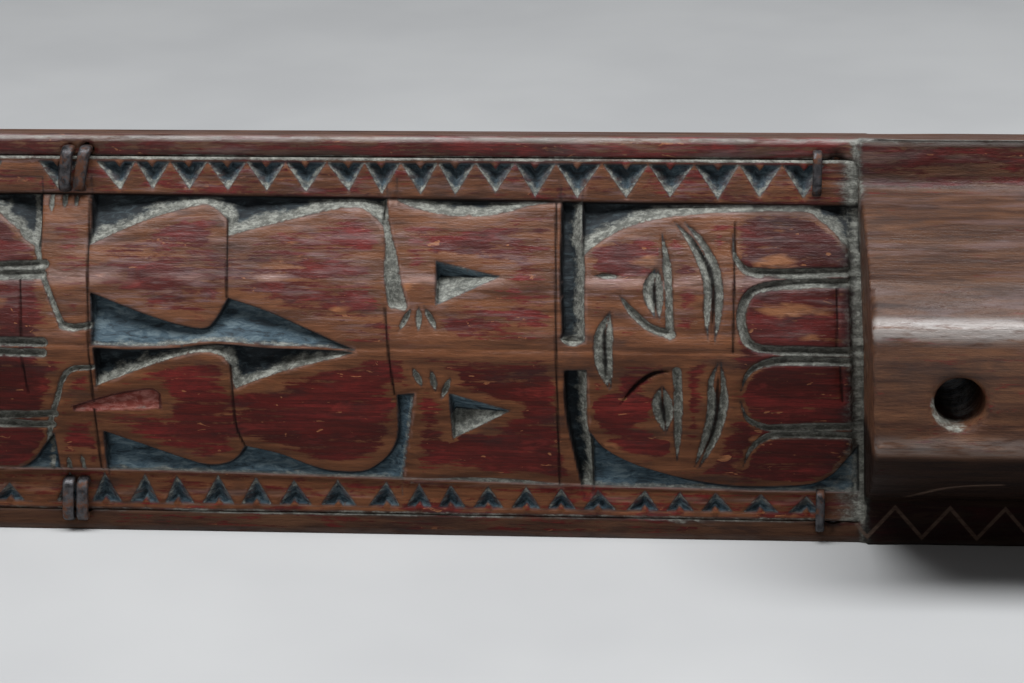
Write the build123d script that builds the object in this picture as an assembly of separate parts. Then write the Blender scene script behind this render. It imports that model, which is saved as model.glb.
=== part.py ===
from build123d import *
import os
from math import radians, sin, tan

# A carved wooden rainstick: a hewn wooden bar, hollowed from its face into a trough, with solid
# blocks left at both ends. A carved cover panel closes the trough and is held by iron staples
# that bridge the seam, and by a nail in each corner. Pegs stand up from the floor of the
# chamber behind the panel, and seeds run through them when the stick is tipped.
#
# Sizes are in millimetres. The parts are drawn in the stick's own axes: X along the stick,
# -Y out of the carved face, Z across the face, with the rim's front edges at Y = 0 and the
# middle of the face at Z = 0. "place" then leans each part back onto its long lower side.

# ---- driving dimensions: the bar ----
FIGURE_LENGTH = 104.0        # one carved figure, head to foot
FIGURE_COUNT = 3             # figures, one above the other, along the panel
FOOT_MARGIN = 3.0            # plain panel beyond the last figure's foot, at the left end
BLOCK_LENGTH = 60.0          # solid block at each end of the stick
FACE_WIDTH = 53.0            # across the face, arris to arris
SIDE_LEAN = 7.0              # degrees that each long side leans in towards the back
FLOOR_THICKNESS = 7.0        # wood behind the chamber's floor
BACK_BEVEL_DEPTH = 7.0       # depth of the bevels between the long sides and the back
BACK_BEVEL_WIDTH = 9.0       # how far each of them narrows the back
BLOCK_PROUD = 22.0           # how far the blocks stand in front of the face's arris
BLOCK_MARGIN = 6.0           # flat margin of the face beside each block
BLOCK_WAIST_PROUD = 8.0      # where the lower and upper facets of a block's sides meet
BLOCK_WAIST_INSET = 3.2      # and how far in from the block's foot that is
BLOCK_SHOULDER_PROUD = 17.5  # where the upper side facets meet the front bevels
BLOCK_SHOULDER_INSET = 5.1   # in from the waist
BLOCK_FRONT_INSET = 4.8      # the front facet's edge, in from the shoulder
BLOCK_END_CHAMFER = 3.0
END_STEP_SKEW = 2.4          # how far the right block's step runs off square over the face
RIM_STEP = 0.5               # rim and panel border lie this much below the blocks' margins

# ---- driving dimensions: cover panel ----
RIM_WIDTH = 2.9              # rim between the face's arris and the panel's rebate
PANEL_SIDE_CLEARANCE = 0.1
PANEL_END_CLEARANCE = 0.15
FIELD_END_INSET = 1.5        # carved field's ends from the steps
PANEL_THICKNESS = 4.5        # border thickness, and so the depth of the rebate
UPPER_BAND = 5.7             # border band of triangles above the carved field
LOWER_BAND = 4.3             # border band below it
FIELD_STEP = 1.2             # height of the field's edge above the border
FACET_LINE = 8.5             # where the field's outer and inner facets meet
FACET_RISE = 3.8             # height of that line above the border
RIDGE_RISE = 5.3             # height of the middle ridge above the border
RECESS_DEPTH = 1.5           # depth of the carved grounds below the field's facets
TOOTH_DEPTH = 1.1            # depth of the chip-carved triangles in the border
TOOTH_COUNT = 21             # triangles along one figure
TOOTH_WIDTH_SHARE = 0.84     # of the tooth pitch
UPPER_TOOTH_INSET = 0.5      # triangle's base from the panel's edge

# ---- driving dimensions: chamber, pegs and seeds ----
LEDGE_WIDTH = 7.6            # ledge under each long edge of the panel
CHAMBER_END_LEDGE = 10.0     # ledge under each end of the panel
CHAMBER_HEADROOM = 2.4       # between the rows of seeds and the panel's underside
PEG_RADIUS = 1.1
PEG_SOCKET_DEPTH = 4.5
PEG_HEAD_GAP = 0.9           # between the pegs and the panel's underside
PEG_ROW_COUNT = 5
PEG_LANE_CLEARANCE = 0.45    # more than the seeds and their gap need, beside the outer rows
PEG_PITCH = 13.0             # along the stick
PEG_END_MARGIN = 10.0        # first peg from the chamber's end
SEED_RADIUS = 1.65
SEED_LENGTH = 4.2
SEED_GAP = 0.35              # between seeds, and between seeds and walls
SEEDS_PER_STREAM = (20, 18, 15, 12)

# ---- driving dimensions: iron ----
PAIR_STAPLE_RADIUS = 0.85    # thick staples, in pairs where two figures meet
END_STAPLE_RADIUS = 0.65     # thinner ones at the panel's ends
STAPLE_RIM_GAP = 0.05        # wood between the outer leg and the panel's rebate
STAPLE_SPAN = 5.1            # from the leg in the rim to the leg through the panel's border
STAPLE_CROWN_RISE = 1.1      # crown's centre line above the border
STAPLE_BEND = 1.0
STAPLE_LEG_LENGTH = 5.6
STAPLE_TIP_RADIUS = 0.15
UPPER_PAIR_START = 4.4       # first upper pair staple, right of the joint between two figures
UPPER_PAIR_SLANTS = (7.0, 12.0)
LOWER_PAIR_START = 2.2
LOWER_PAIR_SLANTS = (-3.0, -3.0)
PAIR_GAP = 0.15              # least space between the two staples of a pair
UPPER_END = 4.9              # end staples, from the block's step
LOWER_END = 5.8
NAIL_RADIUS = 0.6
NAIL_SEAM_OFFSET = 0.25      # nail's axis outside the panel's edge
NAIL_SINK = 0.7              # top of the broken shank below the border
NAIL_LENGTH = 5.0
UPPER_NAIL_OFFSET = 2.6      # nail's axis from the block's step
LOWER_NAIL_OFFSET = 4.0

# ---- driving dimensions: cord holes ----
CORD_HOLE_RADIUS = 2.9
CORD_HOLE_FROM_STEP = 11.6   # from the block's step to the hole's axis
CORD_HOLE_DROP = 1.7         # hole's axis below the middle of the face
CORD_HOLE_FLARE = 0.9        # worn flare at each mouth

# ---- worked-out places ----
PANEL_SPAN = FIGURE_LENGTH * FIGURE_COUNT + FOOT_MARGIN
STICK_LENGTH = PANEL_SPAN + 2 * BLOCK_LENGTH
RIGHT_STEP = PANEL_SPAN / 2
LEFT_STEP = -PANEL_SPAN / 2
HALF_FACE = FACE_WIDTH / 2
REBATE_HALF_WIDTH = HALF_FACE - RIM_WIDTH
REBATE_FLOOR = RIM_STEP + PANEL_THICKNESS
PANEL_HALF_WIDTH = REBATE_HALF_WIDTH - PANEL_SIDE_CLEARANCE
FIELD_TOP = PANEL_HALF_WIDTH - UPPER_BAND
FIELD_BOTTOM = LOWER_BAND - PANEL_HALF_WIDTH
CHAMBER_END = PANEL_SPAN / 2 - CHAMBER_END_LEDGE
CHAMBER_HALF_WIDTH = REBATE_HALF_WIDTH - LEDGE_WIDTH
STREAM_PITCH = 2 * SEED_RADIUS + SEED_GAP
CHAMBER_FLOOR = REBATE_FLOOR + CHAMBER_HEADROOM + STREAM_PITCH * len(SEEDS_PER_STREAM)
BODY_DEPTH = CHAMBER_FLOOR + FLOOR_THICKNESS
OUTER_PEG_ROW = CHAMBER_HALF_WIDTH - STREAM_PITCH - PEG_LANE_CLEARANCE - PEG_RADIUS
PEG_ROW_SPACING = 2 * OUTER_PEG_ROW / (PEG_ROW_COUNT - 1)
STAPLE_OUTER_LEG = REBATE_HALF_WIDTH + STAPLE_RIM_GAP + PAIR_STAPLE_RADIUS
STAPLE_INNER_LEG = STAPLE_OUTER_LEG - STAPLE_SPAN
PAIR_SPACING = 2 * PAIR_STAPLE_RADIUS + PAIR_GAP
LEAN = Rot(-SIDE_LEAN, 0, 0)
FAR = 4 * FACE_WIDTH         # longer than any cut needs
OVERRUN = 1.0                # how far a cut runs past the opening it leaves by
SKIN = 0.01                  # how far a chip's cut starts above the surface


def step_x(end, z):
    """Where the step between rim and block lies at height z: the right one runs off square."""
    if end < 0:
        return LEFT_STEP
    return RIGHT_STEP - END_STEP_SKEW * (z / FACE_WIDTH - 0.5)


def face_prism(half_width, end_gap, front, back):
    """A prism over the recessed face, from depth front to depth back."""
    corners = [
        (step_x(-1, -half_width) + end_gap, -half_width),
        (step_x(1, -half_width) - end_gap, -half_width),
        (step_x(1, half_width) - end_gap, half_width),
        (step_x(-1, half_width) + end_gap, half_width),
    ]
    outline = make_face(Polyline(*[(x, front, z) for x, z in corners], close=True))
    return extrude(outline, amount=back - front, dir=(0, 1, 0))


def along_stick(profile, start, end):
    """A profile of (depth, height) points, extruded along the stick."""
    outline = make_face(Polyline(*[(start, y, z) for y, z in profile], close=True))
    return extrude(outline, amount=end - start, dir=(1, 0, 0))


def mirrored(upper_half):
    """The whole outline, from the upper half's (depth, height) points."""
    return upper_half + [(y, -z) for y, z in reversed(upper_half)]


def bar_profile():
    """The bar's whole section, through a block."""
    foot = HALF_FACE - BLOCK_MARGIN
    waist = foot - BLOCK_WAIST_INSET
    shoulder = waist - BLOCK_SHOULDER_INSET
    side_depth = BODY_DEPTH - BACK_BEVEL_DEPTH
    side_end = HALF_FACE - side_depth * tan(radians(SIDE_LEAN))
    return mirrored([
        (-BLOCK_PROUD, shoulder - BLOCK_FRONT_INSET),
        (-BLOCK_SHOULDER_PROUD, shoulder),
        (-BLOCK_WAIST_PROUD, waist),
        (0, foot),
        (0, HALF_FACE),
        (side_depth, side_end),
        (BODY_DEPTH, side_end - BACK_BEVEL_WIDTH),
    ])


def field_profile(drop):
    """The carved field's faceted section, lowered by drop."""
    return [
        (RIM_STEP, FIELD_TOP),
        (RIM_STEP - FIELD_STEP + drop, FIELD_TOP),
        (RIM_STEP - FACET_RISE + drop, FACET_LINE),
        (RIM_STEP - RIDGE_RISE + drop, 0),
        (RIM_STEP - FACET_RISE + drop, -FACET_LINE),
        (RIM_STEP - FIELD_STEP + drop, FIELD_BOTTOM),
        (RIM_STEP, FIELD_BOTTOM),
    ]


# Grounds cut away round one figure: (distance from the head end, height) outlines, drawn on a
# field of the size given here, and stretched to the panel's own field.
DRAWN_LENGTH = 104.0
DRAWN_HEIGHT = 37.0
CARVED_GROUNDS = [
    # above the skirt's upper lobes
    [(-97, 17.8), (-97, 12.3), (-90, 15.3), (-83, 17.2), (-81, 17.0), (-79, 13.8), (-74, 15.1),
     (-66, 16.8), (-59, 17.4), (-59, 17.8)],
    # between the upper lobes and the middle line
    [(-97, 6.4), (-89, 3.7), (-82, 2.6), (-79, 6.0), (-63.5, 0.5), (-97, 0.5)],
    # between the middle line and the lower lobes
    [(-97, -0.3), (-63.5, -0.2), (-71, -2.2), (-78.3, -5.8), (-79, -1.2), (-81, -0.6), (-86, -1.6),
     (-97, -5.8)],
    # below the skirt's lower lobes
    [(-97, -12.0), (-90.5, -14.0), (-84, -16.5), (-80, -16.5), (-77.8, -12.9), (-71.5, -15.4),
     (-64, -17.4), (-59, -16.0), (-57.5, -10), (-57, -6), (-55.5, -6), (-56.2, -13), (-57.5, -19.2),
     (-97, -19.2)],
    # the upper arm
    [(-59.3, 17.4), (-58.4, 17.4), (-56.0, 4.9), (-58.4, 5.5), (-59.0, 10.6)],
    # above and below the chest
    [(-58, 17.8), (-53, 16.8), (-47, 16.2), (-42, 16.9), (-37.5, 17.8)],
    [(-56, -19.2), (-49.7, -18.3), (-37, -19.2)],
    # the two sides of the neck
    [(-37, 17.8), (-34, 17.8), (-33.8, 1.6), (-36.8, 1.6)],
    [(-36.2, -2.5), (-33.2, -2.5), (-32.8, -19.2), (-35.2, -19.2)],
    # round the head
    [(-34, 17.8), (-34, 11.8), (-29.4, 14.6), (-23, 16.1), (-16.4, 17.0), (-8, 17.4), (-8, 17.8)],
    [(-33, -11.5), (-30, -15.2), (-25.6, -17.1), (-18, -18.4), (-12, -18.8), (-12, -19.2),
     (-32.6, -19.2)],
    # between the headdress lobes
    [(-1.5, 10), (-13, 9.9), (-14.8, 12.5), (-15.6, 9.5), (-14.8, 7), (-13, 8), (-1.5, 8.8)],
    [(-1.5, 0.4), (-11, 0.4), (-13.5, 1.5), (-15, 0), (-13.5, -2.3), (-11, -1.2), (-1.5, -1.2)],
    [(-1, -9.9), (-11, -10.3), (-13.2, -9.2), (-14.8, -11), (-13, -13.2), (-11, -12.1), (-1, -11.2)],
    # round the foot
    [(-103.4, 10.9), (-102, 6), (-100.4, 2.4), (-97, 2.8), (-97, 1.6), (-101, 1.3), (-103.4, 5)],
    [(-97, -3.2), (-99.8, -3.2), (-101.2, -5.4), (-102.3, -8.8), (-103.2, -15), (-102.5, -15),
     (-101.2, -9), (-100, -6), (-99, -4.4), (-97, -4.4)],
]


def figure_ends():
    """Where each figure's head end lies along the stick, from right to left."""
    return [RIGHT_STEP - FIGURE_LENGTH * k for k in range(FIGURE_COUNT)]


def ground_cuts():
    """The carved grounds of every figure, down to the lowered field."""
    along = FIGURE_LENGTH / DRAWN_LENGTH
    across = (FIELD_TOP - FIELD_BOTTOM) / DRAWN_HEIGHT
    past = END_STEP_SKEW + OVERRUN
    lowered = along_stick(field_profile(RECESS_DEPTH), LEFT_STEP - past, RIGHT_STEP + past)
    cuts = []
    for head in figure_ends():
        for outline in CARVED_GROUNDS:
            points = [(head + along * u, -2 * RIDGE_RISE, across * w) for u, w in outline]
            face = make_face(Polyline(*points, close=True))
            prism = extrude(face, amount=2 * RIDGE_RISE + RIM_STEP, dir=(0, 1, 0))
            cuts.append(prism - lowered)
    return cuts


def tooth(middle, base_z, apex_z):
    """One chip-carved triangle: deepest at the middle of its base, rising to its apex."""
    half = FIGURE_LENGTH / TOOTH_COUNT * TOOTH_WIDTH_SHARE / 2
    face = RIM_STEP - SKIN
    left = Vector(middle - half, face, base_z)
    right = Vector(middle + half, face, base_z)
    apex = Vector(middle, face, apex_z)
    deep = Vector(middle, RIM_STEP + TOOTH_DEPTH, base_z)
    sides = [(left, right, apex), (left, right, deep), (left, apex, deep), (right, apex, deep)]
    return Solid(Shell([Face(Wire.make_polygon(side)) for side in sides]))


def tooth_cuts():
    """The triangles in both border bands, point to point with the field's edges."""
    pitch = FIGURE_LENGTH / TOOTH_COUNT
    upper_base = PANEL_HALF_WIDTH - UPPER_TOOTH_INSET
    cuts = []
    for head in figure_ends():
        for k in range(TOOTH_COUNT):
            middle = head - pitch * (k + 0.5)
            cuts.append(tooth(middle, upper_base, FIELD_TOP + RIM_STEP))
            cuts.append(tooth(middle, -upper_base, FIELD_BOTTOM - RIM_STEP))
    return cuts


def staple(x, side, slant, radius):
    """A staple over the seam at x, on the upper (+1) or lower (-1) side, slanted in degrees."""
    outer, inner = STAPLE_OUTER_LEG, STAPLE_INNER_LEG
    crown = -STAPLE_CROWN_RISE
    route = FilletPolyline((0, 0, outer), (0, crown, outer), (0, crown, inner), (0, 0, inner),
                           radius=STAPLE_BEND)
    start = Plane(origin=(0, 0, outer), z_dir=(0, -1, 0))
    wire = sweep(start * Circle(radius), path=route)
    for leg in (outer, inner):
        top = Plane(origin=(0, STAPLE_LEG_LENGTH / 2, leg), z_dir=(0, 1, 0))
        wire += top * Cone(radius, STAPLE_TIP_RADIUS, STAPLE_LEG_LENGTH)
    turned = Pos(0, 0, outer) * Rot(0, slant, 0) * Pos(0, 0, -outer) * wire
    if side < 0:
        turned = mirror(turned, about=Plane.XY)
    return Pos(x, RIM_STEP, 0) * turned


def pair_staples(side, start, slants):
    """Two staples at each joint, spaced so that the more slanted one's leg clears the other's."""
    drift = STAPLE_SPAN * (sin(radians(slants[1])) - sin(radians(slants[0])))
    offsets = (start, start + PAIR_SPACING + max(drift, 0))
    return [staple(joint + offset, side, slant, PAIR_STAPLE_RADIUS)
            for joint in figure_ends()[1:] for offset, slant in zip(offsets, slants)]


def end_staples(side, offset):
    height = side * STAPLE_OUTER_LEG
    return [staple(step_x(end, height) - end * offset, side, 0, END_STAPLE_RADIUS) for end in (-1, 1)]


def corner_nails():
    """A broken nail shank sunk in the seam at each corner of the panel."""
    nails = []
    for end in (-1, 1):
        for side, offset in ((-1, LOWER_NAIL_OFFSET), (1, UPPER_NAIL_OFFSET)):
            z = side * (PANEL_HALF_WIDTH + NAIL_SEAM_OFFSET)
            x = step_x(end, z) - end * offset
            middle = RIM_STEP + NAIL_SINK + NAIL_LENGTH / 2
            nails.append(Pos(x, middle, z) * Rot(90, 0, 0) * Cylinder(NAIL_RADIUS, NAIL_LENGTH))
    return nails


def nail_holes(nails):
    """Each nail's own space, and the open hole above its broken shank."""
    return [nail + Pos(0, -NAIL_SINK, 0) * nail for nail in nails]


def peg_rows():
    """Rows of pegs across the chamber; every other row is set half a pitch along."""
    bottom = CHAMBER_FLOOR + PEG_SOCKET_DEPTH
    top = REBATE_FLOOR + PEG_HEAD_GAP
    run = 2 * (CHAMBER_END - PEG_END_MARGIN)
    rows = []
    for row in range(PEG_ROW_COUNT):
        z = (row - (PEG_ROW_COUNT - 1) / 2) * PEG_ROW_SPACING
        shift = PEG_PITCH / 2 if row % 2 else 0
        count = int((run - shift) / PEG_PITCH) + 1
        start = -run / 2 + shift
        peg = Rot(90, 0, 0) * Cylinder(PEG_RADIUS, bottom - top)
        peg = chamfer(peg.faces().sort_by(Axis.Y)[0].edges(), PEG_RADIUS / 3)
        rows.append([Pos(start + PEG_PITCH * k, (bottom + top) / 2, z) * peg for k in range(count)])
    return rows


def seed_streams():
    """Rows of seeds that lie on the chamber's lower wall, one behind the other in depth."""
    half = make_face([
        Line((-SEED_LENGTH / 2, 0), (SEED_LENGTH / 2, 0)),
        EllipticalCenterArc((0, 0), SEED_LENGTH / 2, SEED_RADIUS, 0, arc_size=180),
    ])
    seed = revolve(half, axis=Axis.X)
    z = -CHAMBER_HALF_WIDTH + STREAM_PITCH / 2
    streams = []
    for stream, count in enumerate(SEEDS_PER_STREAM):
        y = CHAMBER_FLOOR - STREAM_PITCH * (stream + 0.5)
        pitch = SEED_LENGTH + SEED_GAP
        start = -pitch * (count - 1) / 2
        streams.append([Pos(start + pitch * k, y, z) * seed for k in range(count)])
    return streams


def cord_hole(end):
    """A drilled hole through a block, flared at both mouths."""
    x = (LEFT_STEP if end < 0 else RIGHT_STEP) + end * CORD_HOLE_FROM_STEP
    length = BLOCK_PROUD + BODY_DEPTH
    middle = (BODY_DEPTH - BLOCK_PROUD) / 2
    hole = Rot(90, 0, 0) * Cylinder(CORD_HOLE_RADIUS, length)
    wide = CORD_HOLE_RADIUS + CORD_HOLE_FLARE
    flare = Cone(CORD_HOLE_RADIUS, wide, CORD_HOLE_FLARE)
    reach = (length - CORD_HOLE_FLARE) / 2
    hole += Pos(0, -reach, 0) * Rot(90, 0, 0) * flare
    hole += Pos(0, reach, 0) * Rot(-90, 0, 0) * flare
    return Pos(x, middle, -CORD_HOLE_DROP) * hole


def stick_body(iron_cuts, pegs):
    """The hewn bar: solid blocks at its ends, and a rebated trough between them."""
    bar = along_stick(bar_profile(), -STICK_LENGTH / 2, STICK_LENGTH / 2)
    ends = bar.faces().sort_by(Axis.X)
    bar = chamfer(ends[0].edges() + ends[-1].edges(), BLOCK_END_CHAMFER)
    bar -= face_prism(FAR, 0, -FAR, RIM_STEP)
    bar -= face_prism(REBATE_HALF_WIDTH, 0, 0, REBATE_FLOOR)
    depth = CHAMBER_FLOOR - REBATE_FLOOR
    chamber = Box(2 * CHAMBER_END, depth + OVERRUN, 2 * CHAMBER_HALF_WIDTH)
    bar -= Pos(0, CHAMBER_FLOOR - (depth + OVERRUN) / 2, 0) * chamber
    bar -= [cord_hole(end) for end in (-1, 1)]
    return bar - iron_cuts - pegs


def cover_panel(iron_cuts):
    """The carved board that drops into the rebate and closes the chamber."""
    border = face_prism(PANEL_HALF_WIDTH, PANEL_END_CLEARANCE, RIM_STEP, REBATE_FLOOR)
    field = along_stick(field_profile(0), LEFT_STEP, RIGHT_STEP + END_STEP_SKEW)
    field &= face_prism(PANEL_HALF_WIDTH, FIELD_END_INSET, -FAR, RIM_STEP)
    panel = border + field
    return panel - ground_cuts() - tooth_cuts() - iron_cuts


def model():
    """Every node's solid or solids, by name, in the stick's own axes."""
    nails = corner_nails()
    iron = {
        "upper_pair_staples": pair_staples(1, UPPER_PAIR_START, UPPER_PAIR_SLANTS),
        "lower_pair_staples": pair_staples(-1, LOWER_PAIR_START, LOWER_PAIR_SLANTS),
        "upper_end_staples": end_staples(1, UPPER_END),
        "lower_end_staples": end_staples(-1, LOWER_END),
    }
    cuts = nail_holes(nails) + [piece for group in iron.values() for piece in group]
    rows = peg_rows()
    nodes = {
        "stick_body": [stick_body(cuts, [peg for row in rows for peg in row])],
        "cover_panel": [cover_panel(cuts)],
        "corner_nails": nails,
    }
    nodes.update(iron)
    nodes.update({f"peg_row_{k + 1}": row for k, row in enumerate(rows)})
    nodes.update({f"seed_stream_{k + 1}": seeds for k, seeds in enumerate(seed_streams())})
    return nodes


def placed(nodes):
    """Lean every piece back onto the long lower side, and stand the stick on Z = 0."""
    leaned = {name: [LEAN * piece for piece in pieces] for name, pieces in nodes.items()}
    box = leaned["stick_body"][0].bounding_box()
    stand = Pos(0, -box.center().Y, -box.min.Z)
    return {name: [stand * piece for piece in pieces] for name, pieces in leaned.items()}


def write_parts():
    os.makedirs("parts", exist_ok=True)
    for name, pieces in placed(model()).items():
        shape = pieces[0] if len(pieces) == 1 else Compound(children=pieces)
        export_step(shape, f"parts/{name}.step")


write_parts()
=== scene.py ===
import math

import bmesh
import bpy
import numpy as np
from mathutils import Matrix, Vector


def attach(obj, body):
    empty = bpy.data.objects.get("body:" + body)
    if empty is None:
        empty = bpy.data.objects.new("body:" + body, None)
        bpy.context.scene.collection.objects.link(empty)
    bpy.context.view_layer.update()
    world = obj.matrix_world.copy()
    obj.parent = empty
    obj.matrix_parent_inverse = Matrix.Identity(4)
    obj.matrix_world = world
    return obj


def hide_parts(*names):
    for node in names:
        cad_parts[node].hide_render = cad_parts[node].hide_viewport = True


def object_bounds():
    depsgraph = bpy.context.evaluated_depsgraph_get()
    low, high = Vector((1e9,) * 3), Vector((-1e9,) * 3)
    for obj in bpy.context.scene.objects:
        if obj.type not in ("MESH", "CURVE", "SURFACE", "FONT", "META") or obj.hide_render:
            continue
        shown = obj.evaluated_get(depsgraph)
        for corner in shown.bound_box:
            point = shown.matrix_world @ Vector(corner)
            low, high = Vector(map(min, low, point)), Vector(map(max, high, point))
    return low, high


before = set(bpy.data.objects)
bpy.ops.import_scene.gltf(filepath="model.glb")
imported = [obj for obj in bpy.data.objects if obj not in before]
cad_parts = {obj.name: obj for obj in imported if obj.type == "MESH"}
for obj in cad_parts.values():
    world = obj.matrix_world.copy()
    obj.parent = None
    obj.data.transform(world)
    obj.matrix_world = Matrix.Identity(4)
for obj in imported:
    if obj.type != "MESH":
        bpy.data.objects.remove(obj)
cad_low, cad_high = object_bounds()

# A carved rainstick. Pieces are drawn in the stick's own axes, in millimetres: x along the stick,
# y back from the carved face, z across the face. The whole stick leans back on its lower side, and
# to_row() turns stick axes into the row's frame, in metres.

MM = 0.001
LEAN = math.radians(7.0)

# ---- the stick ----
FIGURE_LENGTH = 104.0
FIGURE_COUNT = 3
FOOT_MARGIN = 3.0
FACE_WIDTH = 53.0
RIM_STEP = 0.5
RIM_WIDTH = 2.9
BLOCK_PROUD = 22.0
BLOCK_FRONT_HALF = 7.4
END_STEP_SKEW = 2.4
PANEL_THICKNESS = 4.5
PANEL_HALF_WIDTH = FACE_WIDTH / 2 - RIM_WIDTH - 0.1
CORD_HOLE_FROM_STEP = 11.6
CORD_HOLE_DROP = 1.7
CORD_HOLE_RADIUS = 2.9

HALF_FACE = FACE_WIDTH / 2
PANEL_SPAN = FIGURE_LENGTH * FIGURE_COUNT + FOOT_MARGIN
RIGHT_STEP = PANEL_SPAN / 2
LEFT_STEP = -PANEL_SPAN / 2

# The stick's axes meet the row's frame at the block's front edge and at the lower side.
SHIFT_Y = cad_low.y / MM + BLOCK_PROUD * math.cos(LEAN) + BLOCK_FRONT_HALF * math.sin(LEAN)
SHIFT_Z = HALF_FACE * math.cos(LEAN)

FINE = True
PANEL_GRID = 0.22 if FINE else 0.4       # spacing of the carved surface's points
BODY_VOXEL = 0.7 if FINE else 1.2
PIECE_TRIANGLES = 190000
END_LAP = 0.2                # the carved board's ends reach this far into the worn steps
ALL = slice(None)


def to_row(points):
    """Stick axes in millimetres to the row's frame in metres."""
    x, y, z = np.asarray(points, float).T
    back = y * math.cos(LEAN) + z * math.sin(LEAN) + SHIFT_Y
    up = z * math.cos(LEAN) - y * math.sin(LEAN) + SHIFT_Z
    return np.column_stack([x, back, up]) * MM


def to_stick(points):
    """The row's frame in metres to stick axes in millimetres."""
    x, back, up = np.asarray(points, float).T / MM
    back = back - SHIFT_Y
    up = up - SHIFT_Z
    y = back * math.cos(LEAN) - up * math.sin(LEAN)
    z = back * math.sin(LEAN) + up * math.cos(LEAN)
    return np.column_stack([x, y, z])


# ---------------------------------------------------------------- noise and shapes

def _lattice(i, j, k, seed):
    h = (i * 374761393 + j * 668265263 + k * 1103515245 + seed * 1274126177) & 0xFFFFFFFF
    h = ((h ^ (h >> 13)) * 1274126177) & 0xFFFFFFFF
    return ((h ^ (h >> 16)) & 0xFFFFFF) / float(0xFFFFFF)


def noise(points, size, seed=0):
    """Smooth noise from 0 to 1; size is the grain in millimetres along each axis."""
    q = np.asarray(points, float) / np.asarray(size, float)
    cell = np.floor(q).astype(np.int64)
    f = q - cell
    f = f * f * (3 - 2 * f)
    i, j, k = cell.T
    fx, fy, fz = f.T
    total = np.zeros(len(q))
    for a in (0, 1):
        for b in (0, 1):
            for c in (0, 1):
                weight = (fx if a else 1 - fx) * (fy if b else 1 - fy) * (fz if c else 1 - fz)
                total += weight * _lattice(i + a, j + b, k + c, seed)
    return total


def layered_noise(points, size, seed=0, layers=3):
    size = np.asarray(size, float)
    total = 0.0
    share = 0.0
    for n in range(layers):
        total = total + noise(points, size / 2 ** n, seed + 17 * n) / 2 ** n
        share += 1 / 2 ** n
    return total / share


def smoothstep(low, high, value):
    t = np.clip((value - low) / (high - low), 0, 1)
    return t * t * (3 - 2 * t)


def curve(points, steps=6):
    """A smooth line through the points; a point given twice in a row stays a sharp corner."""
    runs = [[points[0]]]
    for before, point in zip(points, points[1:]):
        if point == before:
            runs.append([point])
        else:
            runs[-1].append(point)
    line = []
    for run in runs:
        p = np.array([run[0]] + run + [run[-1]], float)
        for n in range(1, len(p) - 2):
            for t in np.arange(steps) / steps:
                line.append(0.5 * ((2 * p[n]) + (p[n + 1] - p[n - 1]) * t
                                   + (2 * p[n - 1] - 5 * p[n] + 4 * p[n + 1] - p[n + 2]) * t ** 2
                                   + (3 * p[n] - p[n - 1] - 3 * p[n + 1] + p[n + 2]) * t ** 3))
        line.append(p[-1])
    return np.array(line)


def line_distance(u, w, line):
    """Distance of points (u, w) from an open line, and how far along it the nearest place is."""
    best = np.full(u.shape, 1e9)
    where = np.zeros(u.shape)
    lengths = np.hypot(*np.diff(line, axis=0).T)
    total = max(lengths.sum(), 1e-6)
    start = 0.0
    for (a, b), length in zip(zip(line, line[1:]), lengths):
        if length < 1e-9:
            continue
        d = (b - a) / length
        t = np.clip((u - a[0]) * d[0] + (w - a[1]) * d[1], 0, length)
        gap = np.hypot(u - a[0] - t * d[0], w - a[1] - t * d[1])
        near = gap < best
        best = np.where(near, gap, best)
        where = np.where(near, (start + t) / total, where)
        start += length
    return best, where


def inside(u, w, outline):
    """Whether each point (u, w) is within the closed outline."""
    result = np.zeros(u.shape, bool)
    for a, b in zip(outline, np.roll(outline, -1, axis=0)):
        if abs(a[1] - b[1]) < 1e-12:
            continue
        crosses = (a[1] > w) != (b[1] > w)
        at = a[0] + (w - a[1]) / (b[1] - a[1]) * (b[0] - a[0])
        result ^= crosses & (u < at)
    return result


# ---------------------------------------------------------------- the carved panel

# A figure is drawn with u along the stick, zero at the head end and negative towards the foot,
# and w across the face from its middle. A point given twice is a sharp corner.

# The faceted field: height above the border, by distance from the middle of the face.
FIELD_SECTION = [(-24.0, -0.6), (-19.2, 0.8), (-8.5, 3.8), (0.0, 5.3), (8.5, 3.8), (18.2, 0.3), (24.0, -1.5)]
WALL = 0.42                  # run of a steep wall

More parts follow.
